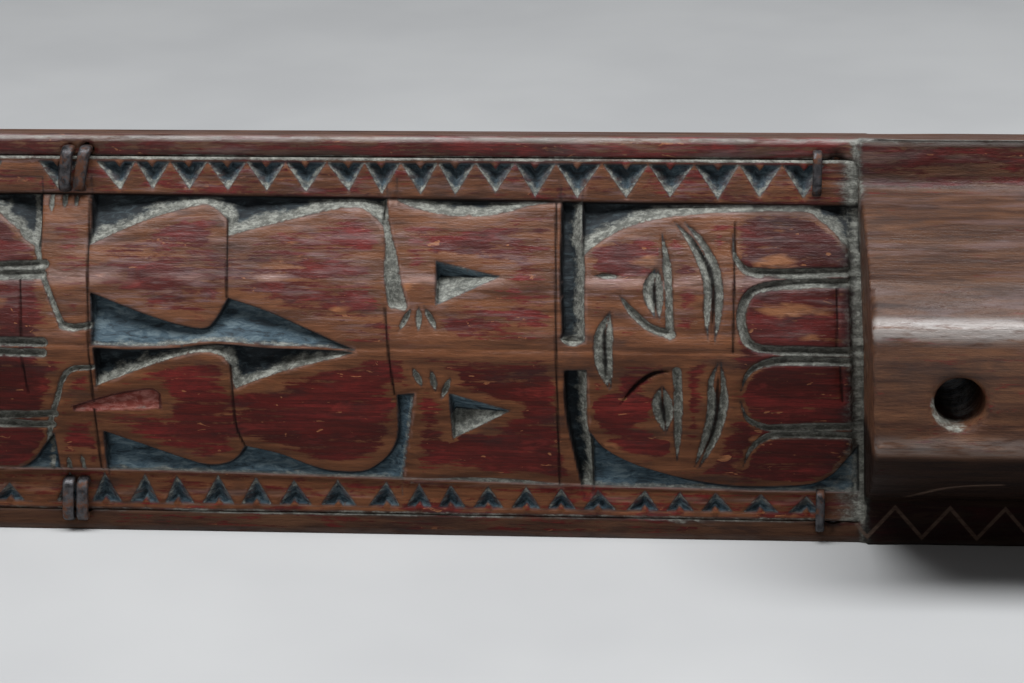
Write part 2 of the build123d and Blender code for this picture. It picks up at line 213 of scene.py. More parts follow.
# Recesses of one figure, cut steeply along the first line and rising gently to the second.
# Each is (steep line, gentle line, depth, run of the gentle floor, paint).
RECESSES = [
    # above the skirt
    ([(-97.1, 12.6), (-96.9, 15.0), (-96.9, 21), (-96.9, 21),
      (-58.9, 21), (-58.9, 21), (-58.9, 17.9)],
     [(-97.2, 12.4), (-92.4, 14.5), (-87.1, 16.4), (-82.6, 17.4), (-80.7, 16.9), (-79.2, 15.5),
      (-79.2, 15.5), (-79.1, 13.7), (-79.1, 13.7), (-75.8, 14.6), (-72.1, 15.5), (-67.6, 16.6),
      (-64.0, 17.2), (-62.2, 17.2), (-60.8, 16.4), (-59.2, 15.0)],
     2.0, 2.8, "black"),
    # the upper arm
    ([(-60.8, 16.6), (-59.4, 15.2), (-59.0, 12.7), (-59.0, 9.1), (-58.6, 5.9), (-58.2, 5.0)],
     [(-58.9, 18.4), (-58.5, 15.2), (-57.5, 11.6), (-56.7, 7.7), (-56.1, 5.3), (-56.3, 4.8)],
     1.1, 1.9, "lime"),
    # above and below the chest
    ([(-57.6, 18.1), (-57.6, 21), (-57.6, 21), (-37.0, 21), (-37.0, 21), (-36.9, 18.2)],
     [(-57.4, 18.0), (-54.8, 17.1), (-51.1, 16.4), (-47.4, 16.3), (-43.7, 16.8), (-40.8, 17.6),
      (-36.9, 18.1)],
     1.4, 1.6, "black"),
    ([(-56.4, -19.0), (-54.3, -18.6), (-50.8, -18.2), (-46.3, -18.1), (-41.7, -18.3), (-37.2, -19.0)],
     [(-56.4, -19.3), (-51.6, -19.3), (-47.0, -19.2), (-41.7, -19.3), (-36.8, -19.3)],
     0.8, 1.0, "lime"),
    # between the skirt's upper lobes and the middle
    ([(-96.8, 6.6), (-95.6, 6.2), (-90.0, 4.1), (-85.4, 2.7), (-82.1, 2.3), (-80.6, 3.4),
      (-79.0, 6.1), (-79.0, 6.1), (-74.2, 4.6), (-68.2, 2.1), (-62.9, -0.2)],
     [(-96.7, 0.0), (-91.1, -0.2), (-85.5, 0.1), (-81.7, 0.6), (-79.1, 0.6), (-74.2, 0.2),
      (-66.7, 0.0), (-62.9, -0.3)],
     2.1, 3.6, "slate"),
    # between the middle and the skirt's lower lobes
    ([(-96.5, -0.4), (-91.2, -0.6), (-85.5, -0.3), (-81.7, 0.2), (-78.9, 0.2), (-74.2, -0.2),
      (-66.7, -0.3), (-63.0, -0.5)],
     [(-96.5, -5.6), (-92.6, -4.0), (-87.1, -1.9), (-83.5, -0.9), (-81.5, -0.8), (-80.0, -1.3),
      (-78.8, -2.6), (-78.8, -2.6), (-78.5, -5.8), (-78.5, -5.8), (-75.2, -4.4), (-70.6, -2.8),
      (-66.3, -1.6), (-62.8, -0.6)],
     2.3, 2.3, "black"),
    # below the skirt, and up the lower arm
    ([(-96.2, -12.0), (-92.4, -13.4), (-86.8, -15.5), (-83.0, -16.7), (-80.3, -16.4),
      (-78.7, -15.3), (-77.8, -13.9), (-77.8, -13.9), (-73.3, -15.0), (-70.0, -16.4), (-66.9, -17.3),
      (-63.0, -17.4), (-60.7, -16.4), (-58.7, -14.3), (-57.7, -11.4), (-57.6, -6.3)],
     [(-96.4, -21), (-57.6, -21), (-57.6, -21), (-57.5, -18.9), (-56.3, -12.2), (-55.4, -6.1)],
     1.7, 3.2, "slate"),
    # the two sides of the neck
    ([(-36.7, 21), (-36.8, 9.3), (-36.5, 2.8), (-36.7, 1.6)],
     [(-34.0, 21), (-34.1, 13.6), (-33.7, 10.8), (-33.7, 5.7), (-33.6, 1.2)],
     2.1, 1.6, "black"),
    ([(-36.2, -2.7), (-36.2, -7.7), (-35.2, -14.0), (-33.8, -21)],
     [(-33.4, -2.6), (-33.3, -8.9), (-33.1, -11.4), (-32.6, -13.1), (-32.6, -21)],
     2.1, 1.6, "black"),
    # above the head, and below the jaw
    ([(-34.1, 11.9), (-34.2, 21), (-34.2, 21), (0.8, 21), (0.8, 21), (0.8, 12.4)],
     [(-34.0, 11.5), (-32.0, 13.2), (-28.7, 15.0), (-24.7, 16.1), (-20.3, 16.7), (-16.3, 17.0),
      (-11.2, 17.1), (-6.9, 17.1), (-5.4, 16.9), (-4.0, 15.8), (-2.5, 14.6), (-1.2, 13.2), (0.8, 12.0)],
     2.1, 2.4, "black"),
    ([(-33.0, -11.2), (-31.2, -13.5), (-27.5, -15.7), (-23.0, -17.2), (-19.2, -18.1),
      (-14.4, -18.7), (-9.9, -18.7), (-4.7, -18.2), (-2.1, -16.8), (-0.6, -14.9), (1.2, -12.6)],
     [(-32.7, -21), (1.6, -21)],
     1.7, 3.0, "slate"),
    # a wedge cut in the lower leg
    ([(-99.8, -8.4), (-95.5, -7.0), (-91.0, -6.0), (-89.2, -5.9), (-88.2, -6.6)],
     [(-99.8, -9.2), (-93.8, -9.0), (-88.2, -8.7)],
     0.8, 1.8, "rose"),
]

# Three-cornered chips in the chest: (upper left, tip, lower left).
CHIPS = [
    ((-52.5, 10.9), (-44.4, 9.1), (-52.4, 5.5)),
    ((-50.9, -6.0), (-43.1, -8.3), (-50.6, -12.4)),
]

# Cut grooves: (line, width, depth, thin) where a thin end tapers to nothing.
GROOVES = [
    # between the lobes of the headdress
    ([(-15.1, 14.5), (-15.0, 12.0), (-13.8, 10.3), (-12.0, 9.8), (-6.0, 9.8), (1.0, 10.1)],
     1.2, 0.9, "start"),
    ([(1.0, 8.8), (-8.0, 8.5), (-11.9, 7.9), (-13.3, 6.8), (-14.0, 4.9), (-13.8, 2.7), (-12.9, 1.1),
      (-11.0, 0.4), (-6.0, 0.3), (1.0, 0.2)], 1.2, 0.9, ""),
    ([(1.0, -1.1), (-8.0, -1.0), (-11.5, -1.6), (-13.2, -3.0), (-13.9, -5.2)], 1.2, 0.9, "end"),
    ([(-13.9, -6.7), (-13.1, -8.9), (-11.2, -10.0), (-9.0, -10.2), (1.4, -9.8)], 1.1, 0.9, "start"),
    ([(1.4, -11.2), (-8.6, -11.2), (-11.1, -11.9), (-12.6, -13.5), (-13.4, -15.8)], 1.1, 0.9, "end"),
    # brows
    ([(-22.5, 15.8), (-20.3, 13.3), (-18.8, 10.5), (-18.2, 8.1), (-18.3, 5.0), (-18.2, 1.6)],
     1.15, 0.8, "both"),
    ([(-21.3, 15.8), (-19.0, 13.3), (-17.5, 10.5), (-16.9, 7.7), (-16.9, 4.5), (-17.3, 1.2)],
     1.15, 0.8, "both"),
    ([(-16.8, -1.4), (-17.7, -4.0), (-17.5, -7.0), (-18.0, -10.7), (-19.6, -16.0)], 1.15, 0.8, "both"),
    ([(-16.5, -1.4), (-16.1, -4.6), (-16.2, -8.2), (-17.2, -12.0), (-19.1, -16.2)], 1.15, 0.8, "both"),
    # eyes
    ([(-24.8, 10.2), (-25.7, 7.6), (-24.8, 4.2)], 1.35, 0.7, "both"),
    ([(-24.6, 10.2), (-24.3, 7.6), (-24.3, 4.0)], 1.1, 0.7, "both"),
    ([(-23.9, -4.7), (-24.5, -7.1), (-23.4, -11.2)], 1.3, 0.7, "both"),
    ([(-23.7, -4.7), (-23.0, -7.6), (-23.2, -11.0)], 1.1, 0.7, "both"),
    # nose and cheek
    ([(-24.1, 14.6), (-23.4, 10.8), (-23.1, 7.0), (-22.9, 2.0)], 1.0, 0.8, "start"),
    ([(-29.3, 6.9), (-27.5, 4.7), (-25.3, 2.9), (-22.7, 2.1)], 1.1, 0.8, "start"),
    ([(-22.0, -2.6), (-21.8, -7.5), (-21.9, -15.2)], 1.1, 0.7, "end"),
    # mouth
    ([(-30.5, 4.8), (-31.6, 2.4), (-31.8, 0.0), (-31.4, -2.6), (-30.5, -5.2)], 1.35, 0.8, "both"),
    ([(-30.4, 4.8), (-30.5, 2.4), (-30.6, 0.0), (-30.5, -2.6), (-30.3, -5.0)], 1.1, 0.7, "both"),
    # cheek mark, and the foot of the upper neck cut
    ([(-32.5, 9.3), (-29.3, 9.2)], 0.6, 0.4, "both"),
    ([(-36.8, 1.5), (-35.2, 1.1), (-33.5, 1.2)], 1.1, 0.9, "both"),
    # hands
    ([(-57.1, 2.2), (-55.6, 5.0)], 0.7, 0.6, "both"),
    ([(-54.6, 2.1), (-54.6, 5.2)], 0.7, 0.6, "both"),
    ([(-52.3, 2.3), (-53.8, 5.1)], 0.7, 0.6, "both"),
    ([(-55.4, -2.6), (-54.3, -5.2)], 0.8, 0.6, "both"),
    ([(-53.1, -2.9), (-52.6, -5.8)], 0.8, 0.6, "both"),
    ([(-50.7, -3.9), (-51.9, -6.8)], 0.8, 0.6, "both"),
    # foot and leg
    ([(-104.6, 18.8), (-103.7, 12.3), (-103.0, 9.1), (-101.5, 5.1), (-100.4, 2.5)], 0.7, 0.6, ""),
    ([(-100.4, 2.5), (-98.8, 2.2), (-96.8, 2.5)], 0.9, 0.8, ""),
    ([(-96.7, -3.0), (-99.4, -3.3), (-100.9, -4.9), (-101.7, -7.4), (-103.0, -10.8), (-103.6, -15.1),
      (-103.5, -19.0)], 0.7, 0.6, ""),
    ([(-102.0, 18.6), (-102.1, 16.4)], 0.6, 0.5, "end"),
    ([(-100.3, 18.4), (-100.4, 16.9)], 0.6, 0.5, "end"),
    ([(-98.8, 18.2), (-98.9, 17.1)], 0.5, 0.5, "end"),
    ([(-99.5, -15.6), (-99.3, -17.8)], 0.6, 0.5, "start"),
    ([(-101.3, -15.9), (-101.2, -17.9)], 0.6, 0.5, "start"),
]

# Dark cuts, with their width and depth: over the lower cheek, then down the middle of the eyes,
# the mouth and the brows.
DARK_CUTS = [
    ([(-29.3, -7.4), (-27.1, -4.6), (-24.8, -2.9), (-22.0, -2.5)], 0.65, 0.7),
    ([(-24.9, 9.2), (-24.95, 7.0), (-24.5, 4.6)], 0.66, 0.4),
    ([(-23.9, -5.6), (-23.7, -8.0), (-23.4, -10.4)], 0.66, 0.4),
    ([(-31.1, 3.8), (-31.1, 0.0), (-30.9, -4.2)], 0.66, 0.4),
    ([(-20.9, 14.6), (-19.6, 12.8), (-18.1, 10.2), (-17.5, 7.5), (-17.6, 4.6), (-17.8, 1.8)], 0.66, 0.4),
    ([(-16.7, -2.2), (-16.9, -5.5), (-16.9, -8.2), (-17.6, -11.6), (-19.2, -15.4)], 0.66, 0.4),
]

# Fine scribed lines: dark, with hardly any depth.
SCRIBED_WIDTH = 0.34
SCRIBED_DEPTH = 0.18
SCRIBED = [
    [(-97.1, 18.6), (-97.0, -18.0)],
    [(-79.2, 15.7), (-79.1, 6.2)],
    [(-78.8, -2.4), (-78.7, -10.4), (-77.8, -13.8)],
    [(-58.9, 5.0), (-58.4, -1.0), (-57.9, -6.2)],
    [(-37.4, 18.0), (-37.2, 0.0), (-37.0, -18.9)],
    [(-15.0, 0.0), (-14.9, 15.8)],
    [(-2.2, 8.4), (-2.1, 0.8)],
    [(-1.6, -1.6), (-1.2, -6.4)],
]

# Points of the chip-carved triangles along one figure, spaced unevenly as the carver spaced them.
UPPER_TEETH = [-6.4, -11.9, -17.1, -23.1, -28.6, -34.8, -40.1, -45.1, -50.2, -54.6, -59.6,
               -63.8, -69.3, -74.3, -79.3, -84.3, -89.0, -93.2, -101.3]
LOWER_TEETH = [-5.2, -11.1, -16.9, -21.5, -26.0, -32.1, -36.9, -41.4, -46.4, -51.3, -55.4, -59.7,
               -66.1, -71.9, -76.9, -81.9, -87.4, -91.6, -97.0, -101.6]
TOOTH_DEPTH = 1.3
TOOTH_PITCH = 4.9            # to the triangle beyond each end of the rows
WIDEST_GAP = 6.0             # a wider gap between two points is left as plain border
UPPER_BASE = 22.9            # the triangles' bases, from the middle of the face
LOWER_BASE = 22.6
CARVED_DEPTH = 2.4           # nothing is cut deeper than this below the border

# Places where the paint has flaked off one figure: (u, w, half length, half height).
FLAKED = [
    (-9.9, 11.2, 2.9, 0.75), (-7.5, 5.3, 4.4, 0.95), (-25.9, 11.0, 1.5, 0.7), (-4.8, 2.0, 1.6, 0.3),
    (-56.0, 8.0, 1.0, 0.5), (-65.0, 4.9, 1.2, 0.35), (-30.6, -13.0, 0.8, 0.35), (-11.5, -11.9, 1.8, 0.3),
]

# Places where the red paint is still thick on one figure, in the same form.
PAINTED = [
    (-28.6, 11.2, 4.2, 3.0), (-28.8, -8.2, 3.8, 3.2), (-26.0, -12.6, 4.0, 1.6), (-84.5, 14.2, 3.4, 1.5),
    (-87.6, 8.8, 5.6, 1.3), (-67.0, 9.4, 6.2, 0.8), (-63.8, 13.6, 2.6, 1.1), (-83.6, -10.0, 4.6, 4.0),
    (-66.0, -8.5, 7.5, 4.5), (-50.0, 12.8, 5.2, 1.3), (-47.0, -14.0, 7.0, 2.2), (-41.5, 4.4, 3.4, 1.0),
]

# How each ground takes lime on its gentle slope: (full width, fade, strength).
LIME_ON = {
    "black": (0.15, 1.9, 1.0),
    "slate": (0.1, 0.9, 0.7),
    "lime": (9.0, 1.0, 0.9),
    "rose": (0.2, 1.0, 0.4),
}

CARVER_SHIFT = 0.35          # how far the carver's lines wander on the second and third figures
TOOTH_SHIFT = 0.25           # and the triangles' points
FIELD_MIDDLE = 8.5           # where the field's facets meet
UPPER_RED = 0.60             # how much red paint is left above the ridge
LOWER_RED = 0.9              # and below it

# The last of these layers darkens towards soot: partly grime, partly painted shade in recesses, grooves and
# under the block.
LAYERS = ("ground", "slate", "lime", "rose", "red", "bare", "edge", "shade_and_grime")


def step_x(end, z):
    if end < 0:
        return LEFT_STEP + 0 * z
    return RIGHT_STEP - END_STEP_SKEW * (z / FACE_WIDTH - 0.5)


def field_top(u):
    """The upper border line, which wanders a little along the stick."""
    return 18.2 - 0.4 * np.cos(math.pi * u / FIGURE_LENGTH)


def field_bottom(u):
    return -18.6 - 0.8 * np.cos(math.pi * u / FIGURE_LENGTH)


def spread(distance, reach, fade):
    """1 at distances up to reach, falling to 0 over fade."""
    return 1 - smoothstep(reach, reach + fade, distance)


class Relief:
    """The carved surface over points (x, z): its height above the border, and its layers of paint, grime and
    painted shade.
    """

    def __init__(self, x, z):
        self.x = x
        self.z = z
        self.u = x - RIGHT_STEP
        self.points = np.column_stack([x, np.zeros_like(x), z])
        self.paint = {name: np.zeros(x.shape) for name in LAYERS}
        self.cut = np.zeros(x.shape)
        self.free = np.full(x.shape, 1e3)       # distance from the nearest cut
        self.top = field_top(self.u)
        self.bottom = field_bottom(self.u)
        self.in_field = (z < self.top) & (z > self.bottom)
        self.carve_figures()
        self.carve_teeth()
        self.finish_borders()
        self.wear()

    def around(self, line, head, reach):
        """The points within reach of a line, and where they are on the figure."""
        u = self.x - head
        low = line.min(0) - reach
        high = line.max(0) + reach
        near = np.flatnonzero((u > low[0]) & (u < high[0]) & (self.z > low[1]) & (self.z < high[1]))
        return near, u[near], self.z[near]

    def carve(self, near, within, edge, cut):
        """Cut the points within an outline; returns their distance inside it, negative outside."""
        self.cut[near] = np.maximum(self.cut[near], cut * within)
        self.free[near] = np.where(within, 0, np.minimum(self.free[near], edge))
        return np.where(within, edge, -edge)

    def carve_figures(self):
        for figure in range(FIGURE_COUNT):
            head = RIGHT_STEP - FIGURE_LENGTH * figure
            jitter = np.random.default_rng(40 + figure)
            amount = CARVER_SHIFT if figure else 0.0
            for steep, gentle, depth, run, paint in RECESSES:
                shift = jitter.normal(0, amount, 2)
                self.recess(head, curve(steep) + shift, curve(gentle) + shift, depth, run, paint)
            for chip in CHIPS:
                self.chip(head, np.array(chip) + jitter.normal(0, amount, 2))
            for line, width, depth, thin in GROOVES:
                self.groove(head, curve(line) + jitter.normal(0, amount / 2, 2), width, depth, thin)
            for line, width, depth in DARK_CUTS:
                self.groove(head, curve(line), width, depth, "both", "shade_and_grime")
            for name, places in (("bare", FLAKED), ("red", PAINTED)):
                for u, w, long, tall in places:
                    self.patch(name, head + u + jitter.normal(0, 4 * amount), w, long, tall)
            for line in SCRIBED:
                shifted = curve(line) + jitter.normal(0, amount, 2)
                self.groove(head, shifted, SCRIBED_WIDTH, SCRIBED_DEPTH, "", "shade_and_grime")

    def recess(self, head, steep, gentle, depth, run, paint):
        """A pit with steep walls, whose floor climbs to the gentle line."""
        if np.linalg.norm(steep[0] - gentle[0]) > np.linalg.norm(steep[0] - gentle[-1]):
            gentle = gentle[::-1]
        outline = np.vstack([steep, gentle[::-1]])
        walls = np.vstack([gentle[:1], steep, gentle[-1:]])
        near, u, z = self.around(outline, head, 3.0)
        from_wall = np.minimum(line_distance(u, z, walls)[0], np.abs(self.top[near] - z))
        from_gentle, _ = line_distance(u, z, gentle)
        rise = np.minimum(from_gentle, np.abs(z - self.bottom[near]))
        edge = np.minimum(from_wall, rise)
        within = inside(u, z, outline) & self.in_field[near]
        rough = noise(self.points[near], (1.6, 1, 0.9), 5)
        floor = np.clip(rise / run, 0, 1) ** 0.8
        cut = depth * floor * smoothstep(0, WALL, from_wall) * (0.92 + 0.16 * rough)
        signed = self.carve(near, within, edge, cut)
        self.tint(near, signed, from_wall, rise, paint, rough)

    def raise_layer(self, name, near, values):
        layer = self.paint[name]
        layer[near] = np.maximum(layer[near], values)

    def tint(self, near, signed, from_wall, rise, paint, rough):
        """Blue-black or slate ground, with lime left on the gentle slopes, and painted shade along the steep
        wall.
        """
        lime_run, fade, lime_share = LIME_ON[paint]
        cover = smoothstep(-0.12, 0.14, signed)
        lime = cover * lime_share * spread(rise, lime_run * (0.5 + 0.9 * rough), fade * (0.6 + 0.8 * rough))
        self.raise_layer("lime", near, lime)
        # Painted shade along the steep wall, where the wall faces away from the light.
        self.raise_layer("shade_and_grime", near, cover * spread(from_wall, 0.15, 0.45) * (paint != "lime"))
        if paint == "rose":
            self.raise_layer("rose", near, cover)
            return
        self.raise_layer("ground", near, cover)
        if paint == "slate":
            self.raise_layer("slate", near, cover)
        lip = spread(np.abs(signed + 0.22), 0.06, 0.18) * spread(rise, 0.4, 0.3)
        self.raise_layer("edge", near, 0.3 * lip * smoothstep(0.3, 0.7, rough))

    def chip(self, head, corners):
        """Two faces that meet in a valley from the left edge to the tip."""
        near, u, z = self.around(corners, head, 2.0)
        upper, _ = line_distance(u, z, corners[:2])
        lower, _ = line_distance(u, z, corners[1:])
        left, _ = line_distance(u, z, corners[[2, 0]])
        within = inside(u, z, corners)
        edge = np.minimum(np.minimum(upper, lower), left)
        fall_low = 0.9 * lower
        fall_high = 1.15 * upper
        cut = np.minimum(fall_low, fall_high) * smoothstep(0, WALL, left)
        signed = self.carve(near, within, edge, cut)
        cover = smoothstep(-0.12, 0.12, signed)
        self.raise_layer("ground", near, cover)
        self.raise_layer("slate", near, cover)
        self.raise_layer("lime", near, cover * smoothstep(-0.1, 0.25, fall_high - fall_low) * 0.95)
        self.raise_layer("lime", near, cover * 0.45 * spread(upper, 0.1, 0.5))
        # Painted shade in the chip's valley and along its steep left wall.
        self.raise_layer("shade_and_grime", near, cover * spread(np.abs(fall_low - fall_high), 0.05, 0.3))
        self.raise_layer("shade_and_grime", near, cover * spread(left, 0.1, 0.4))

    def groove(self, head, line, width, depth, thin, paint="lime"):
        """A v-shaped groove; a thin end narrows to a point."""
        near, u, z = self.around(line, head, width + 0.6)
        if len(near) == 0:
            return
        gap, along = line_distance(u, z, line)
        full = np.ones(along.shape)
        if thin in ("start", "both"):
            full = full * np.clip(along / 0.35, 0.05, 1) ** 0.7
        if thin in ("end", "both"):
            full = full * np.clip((1 - along) / 0.35, 0.05, 1) ** 0.7
        half = width / 2 * full * (0.88 + 0.24 * noise(self.points[near], (2.5, 1, 2.5), 9))
        keep = self.in_field[near] if abs(line[:, 1]).max() < 20 else np.ones(gap.shape, bool)
        share = np.where(keep, np.clip(1 - gap / (half + 0.05), 0, 1), 0)
        self.cut[near] = np.maximum(self.cut[near], depth * full * share ** 0.8)
        if paint == "lime":
            self.free[near] = np.minimum(self.free[near], np.where(keep, gap, 1e3))
        cover = np.where(keep, spread(gap, half - 0.14, 0.24), 0)
        self.raise_layer(paint, near, cover * np.clip(full * 1.6, 0, 1))
        if paint == "lime":
            self.raise_layer("ground", near, cover)
            # Painted shade on the groove's upper wall, which faces down, away from the light.
            lower_gap, _ = line_distance(u + 0.07, z - 0.07, line)
            shaded = smoothstep(0.0, 0.07, gap - lower_gap) * smoothstep(0.5, 0.95, gap / (half + 0.05))
            self.raise_layer("shade_and_grime", near, 0.8 * cover * shaded)

    def patch(self, name, x, w, long, tall):
        """A ragged patch without paint, or with the paint left thick."""
        near = np.flatnonzero((np.abs(self.x - x) < 1.6 * long) & (np.abs(self.z - w) < 1.6 * tall))
        if len(near) == 0:
            return
        ragged = 1.2 * (layered_noise(self.points[near], (2.2, 1, 0.8), 91) - 0.5)
        away = np.hypot((self.x[near] - x) / long, (self.z[near] - w) / tall)
        self.raise_layer(name, near, spread(away, 0.7 + ragged, 0.22) * (self.free[near] > 0.15))

    def carve_teeth(self):
        """Triangles chipped into both border bands, base to base along the seam."""
        for figure in range(FIGURE_COUNT):
            head = RIGHT_STEP - FIGURE_LENGTH * figure
            shake = np.random.default_rng(7 + figure)
            wander = TOOTH_SHIFT if figure else 0.0
            for side, teeth, wide in ((1, UPPER_TEETH, 0.5), (-1, LOWER_TEETH, 0.42)):
                tips = np.array(teeth) + shake.normal(0, wander, len(teeth))
                before = np.append(tips[0] + TOOTH_PITCH, tips[:-1])
                after = np.append(tips[1:], tips[-1] - TOOTH_PITCH)
                rights = np.minimum(before - tips, WIDEST_GAP) * wide
                lefts = np.minimum(tips - after, WIDEST_GAP) * wide
                for tip, left, right in zip(tips, lefts, rights):
                    self.tooth(head, side, tip, left, right, 0.2 + abs(shake.normal(0, 0.2)))

    def tooth(self, head, side, tip, left, right, short):
        """One chip: two facets that fall from its sides to a valley, deepest at the base."""
        base = UPPER_BASE if side > 0 else -LOWER_BASE
        border = float(field_top(np.array(tip)) if side > 0 else field_bottom(np.array(tip)))
        apex = border + side * (0.3 + short)
        corners = np.array([(tip - left, base), (tip, apex), (tip + right, base)])
        near, u, z = self.around(corners, head, 1.0)
        from_left, _ = line_distance(u, z, corners[:2])
        from_right, _ = line_distance(u, z, corners[1:])
        notch = np.clip(0.75 - np.abs(u - tip) * 1.3, 0, 1)
        foot = np.abs(z - base) - notch
        within = inside(u, z, corners) & (foot > 0)
        sides = np.minimum(from_left, from_right)
        edge = np.minimum(sides, np.abs(foot))
        cut = np.minimum(1.05 * sides, 2.6 * np.abs(foot)).clip(0, TOOTH_DEPTH)
        signed = self.carve(near, within, edge, cut)
        rough = noise(self.points[near], (0.9, 1, 0.9), 11)
        cover = smoothstep(-0.1, 0.16, signed)
        self.raise_layer("ground", near, cover)
        self.raise_layer("slate", near, cover * (0.4 + 0.5 * smoothstep(0, 0.4, from_left - from_right)))
        lime = cover * spread(sides, 0.05 + 0.3 * rough, 0.35)
        point = cover * spread(np.abs(z - apex), 0.5 + 0.7 * rough, 0.8)
        self.raise_layer("lime", near, np.maximum(0.8 * lime, 0.85 * point) * (1.0 if side > 0 else 0.75))

    def finish_borders(self):
        """The scribed border line with painted shadow in it, the lower bead, the dirt in the seam and at the
        panel's ends.
        """
        rough = layered_noise(self.points, (3.0, 1, 1.2), 21)
        line = np.abs(self.z - self.top)
        self.cut = np.maximum(self.cut, 0.3 * spread(line, 0.05, 0.22))
        # Painted shadow in the scribed border line.
        self.raise_layer("shade_and_grime", ALL, 0.9 * spread(line, 0.06, 0.2))
        bead = spread(np.abs(self.z - self.bottom), 0.1, 0.3)
        self.raise_layer("edge", ALL, bead)
        self.raise_layer("lime", ALL, 0.55 * bead * smoothstep(0.3, 0.6, rough))
        seam = spread(PANEL_HALF_WIDTH - np.abs(self.z), 0.08 + 0.25 * rough, 0.3)
        broken = smoothstep(0.25, 0.75, noise(self.points, (4.0, 1, 1), 23))
        self.dirty(seam, seam * (0.35 + 0.25 * (self.z > 0) + 0.3 * broken), 0.6)
        right = step_x(1, self.z) - self.x
        left = self.x - step_x(-1, self.z)
        dirt = np.maximum(spread(right, 1.1 + 0.4 * rough, 0.6), spread(left, 1.0 + 0.6 * rough, 0.7))
        dirt = np.maximum(dirt, 0.68 * spread(right, 1.9 + 0.5 * rough, 0.5))
        self.dirty(dirt, dirt * (0.62 + 0.38 * spread(right, 0.45, 0.4)), 0.7)
        corner = smoothstep(7, 0, right) * smoothstep(-12, -18, self.z) * (0.3 + 0.8 * rough)
        self.raise_layer("lime", ALL, np.clip(corner, 0, 0.7))
        self.raise_layer("ground", ALL, np.clip(corner, 0, 0.6))

    def dirty(self, place, lime, ground):
        """Lime and blue-black dirt left in one place."""
        self.raise_layer("lime", ALL, lime)
        self.raise_layer("ground", ALL, ground * place)

    def wear(self):
        """Red paint is left in the middle of each raised part, and rubbed off its edges; a worn, partly
        painted highlight runs along the facet line.
        """
        rough = layered_noise(self.points, (7.0, 1, 2.2), 31)
        worn = smoothstep(0.2, 2.4, self.free * (0.6 + 0.8 * rough))
        ridge = 1 - 0.9 * np.exp(-(self.z / 1.8) ** 2)
        upper = np.where(self.z > 0, UPPER_RED, LOWER_RED)
        along = (self.u + FIGURE_LENGTH * 50) % FIGURE_LENGTH - FIGURE_LENGTH
        headdress = smoothstep(-15.5, -13.0, along)
        cover = np.maximum(upper * worn * ridge, 0.95 * headdress * smoothstep(0.1, 0.9, self.free))
        cover = np.maximum(cover, 1.15 * self.paint["red"])
        self.paint["red"] = np.where(self.in_field, cover, 0.30 + 0.3 * rough)
        self.raise_layer("shade_and_grime", ALL, 0.28 * headdress * self.in_field)
        # A pale line where the facets meet: partly a worn arris, partly a painted highlight.
        facet = spread(np.abs(self.z - FIELD_MIDDLE), 0.15, 0.5 + 0.7 * rough) * smoothstep(0.35, 0.6, rough)
        self.raise_layer("edge", ALL, 0.8 * facet * (self.cut < 0.05))

    def height(self):
        """Height above the border plane."""
        field = np.interp(self.z, *zip(*FIELD_SECTION))
        crown = 0.35 * (1 - np.clip(np.abs(self.z) / 1.2, 0, 1)) ** 2
        edge_x = np.minimum(step_x(1, self.z) - self.x, self.x - step_x(-1, self.z))
        ends = smoothstep(1.2, 1.7, edge_x)
        into_field = smoothstep(-0.1, 0.25, np.minimum(self.top - self.z, self.z - self.bottom))
        bead = 0.5 * spread(np.abs(self.z - self.bottom), 0.1, 0.4)
        flat = np.maximum((field - crown - 1.0 * (1 - ends)).clip(0) * into_field, bead * ends)
        tool = 0.26 * (layered_noise(self.points, (9.0, 1, 2.6), 51) - 0.5)
        dents = 0.14 * (layered_noise(self.points, (3.2, 1, 1.1), 53, 2) - 0.5) * self.in_field
        worn = 0.16 * np.exp(-self.free / 0.4)
        edge = np.minimum(PANEL_HALF_WIDTH - np.abs(self.z), edge_x)
        rounding = 0.15 * (1 - np.clip(edge / 0.4, 0, 1)) ** 2
        return flat - self.cut * np.maximum(ends, 0.3) - worn + tool + dents - rounding


def mesh_object(name, points, faces):
    """A mesh from points in stick axes, in millimetres."""
    mesh = bpy.data.meshes.new(name)
    mesh.from_pydata(to_row(points).tolist(), [], [tuple(int(i) for i in f) for f in faces])
    mesh.validate()
    mesh.shade_smooth()
    made = bpy.data.objects.new(name, mesh)
    bpy.context.scene.collection.objects.link(made)
    return made


def settle(piece, node, body="stick"):
    """Put a finished piece in the place of its CAD node."""
    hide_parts(node)
    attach(piece, body)
    return piece


def apply_modifiers(piece):
    """Bake the piece's modifiers into its mesh."""
    depsgraph = bpy.context.evaluated_depsgraph_get()
    mesh = bpy.data.meshes.new_from_object(piece.evaluated_get(depsgraph))
    old = piece.data
    piece.modifiers.clear()
    piece.data = mesh
    bpy.data.meshes.remove(old)
    mesh.name = piece.name


def thin_out(piece, triangles):
    """Collapse the flattest places until the mesh has about this many triangles."""
    piece.data.calc_loop_triangles()
    have = len(piece.data.loop_triangles)
    if have <= triangles:
        return
    thinner = piece.modifiers.new("thin_out", "DECIMATE")
    thinner.ratio = triangles / have
    apply_modifiers(piece)


def read_points(mesh):
    points = np.empty(len(mesh.vertices) * 3)
    mesh.vertices.foreach_get("co", points)
    return points.reshape(-1, 3)


def store_layers(mesh, layers):
    for name, values in layers.items():
        layer = mesh.attributes.new(name, "FLOAT", "POINT")
        layer.data.foreach_set("value", np.asarray(values, np.float32))


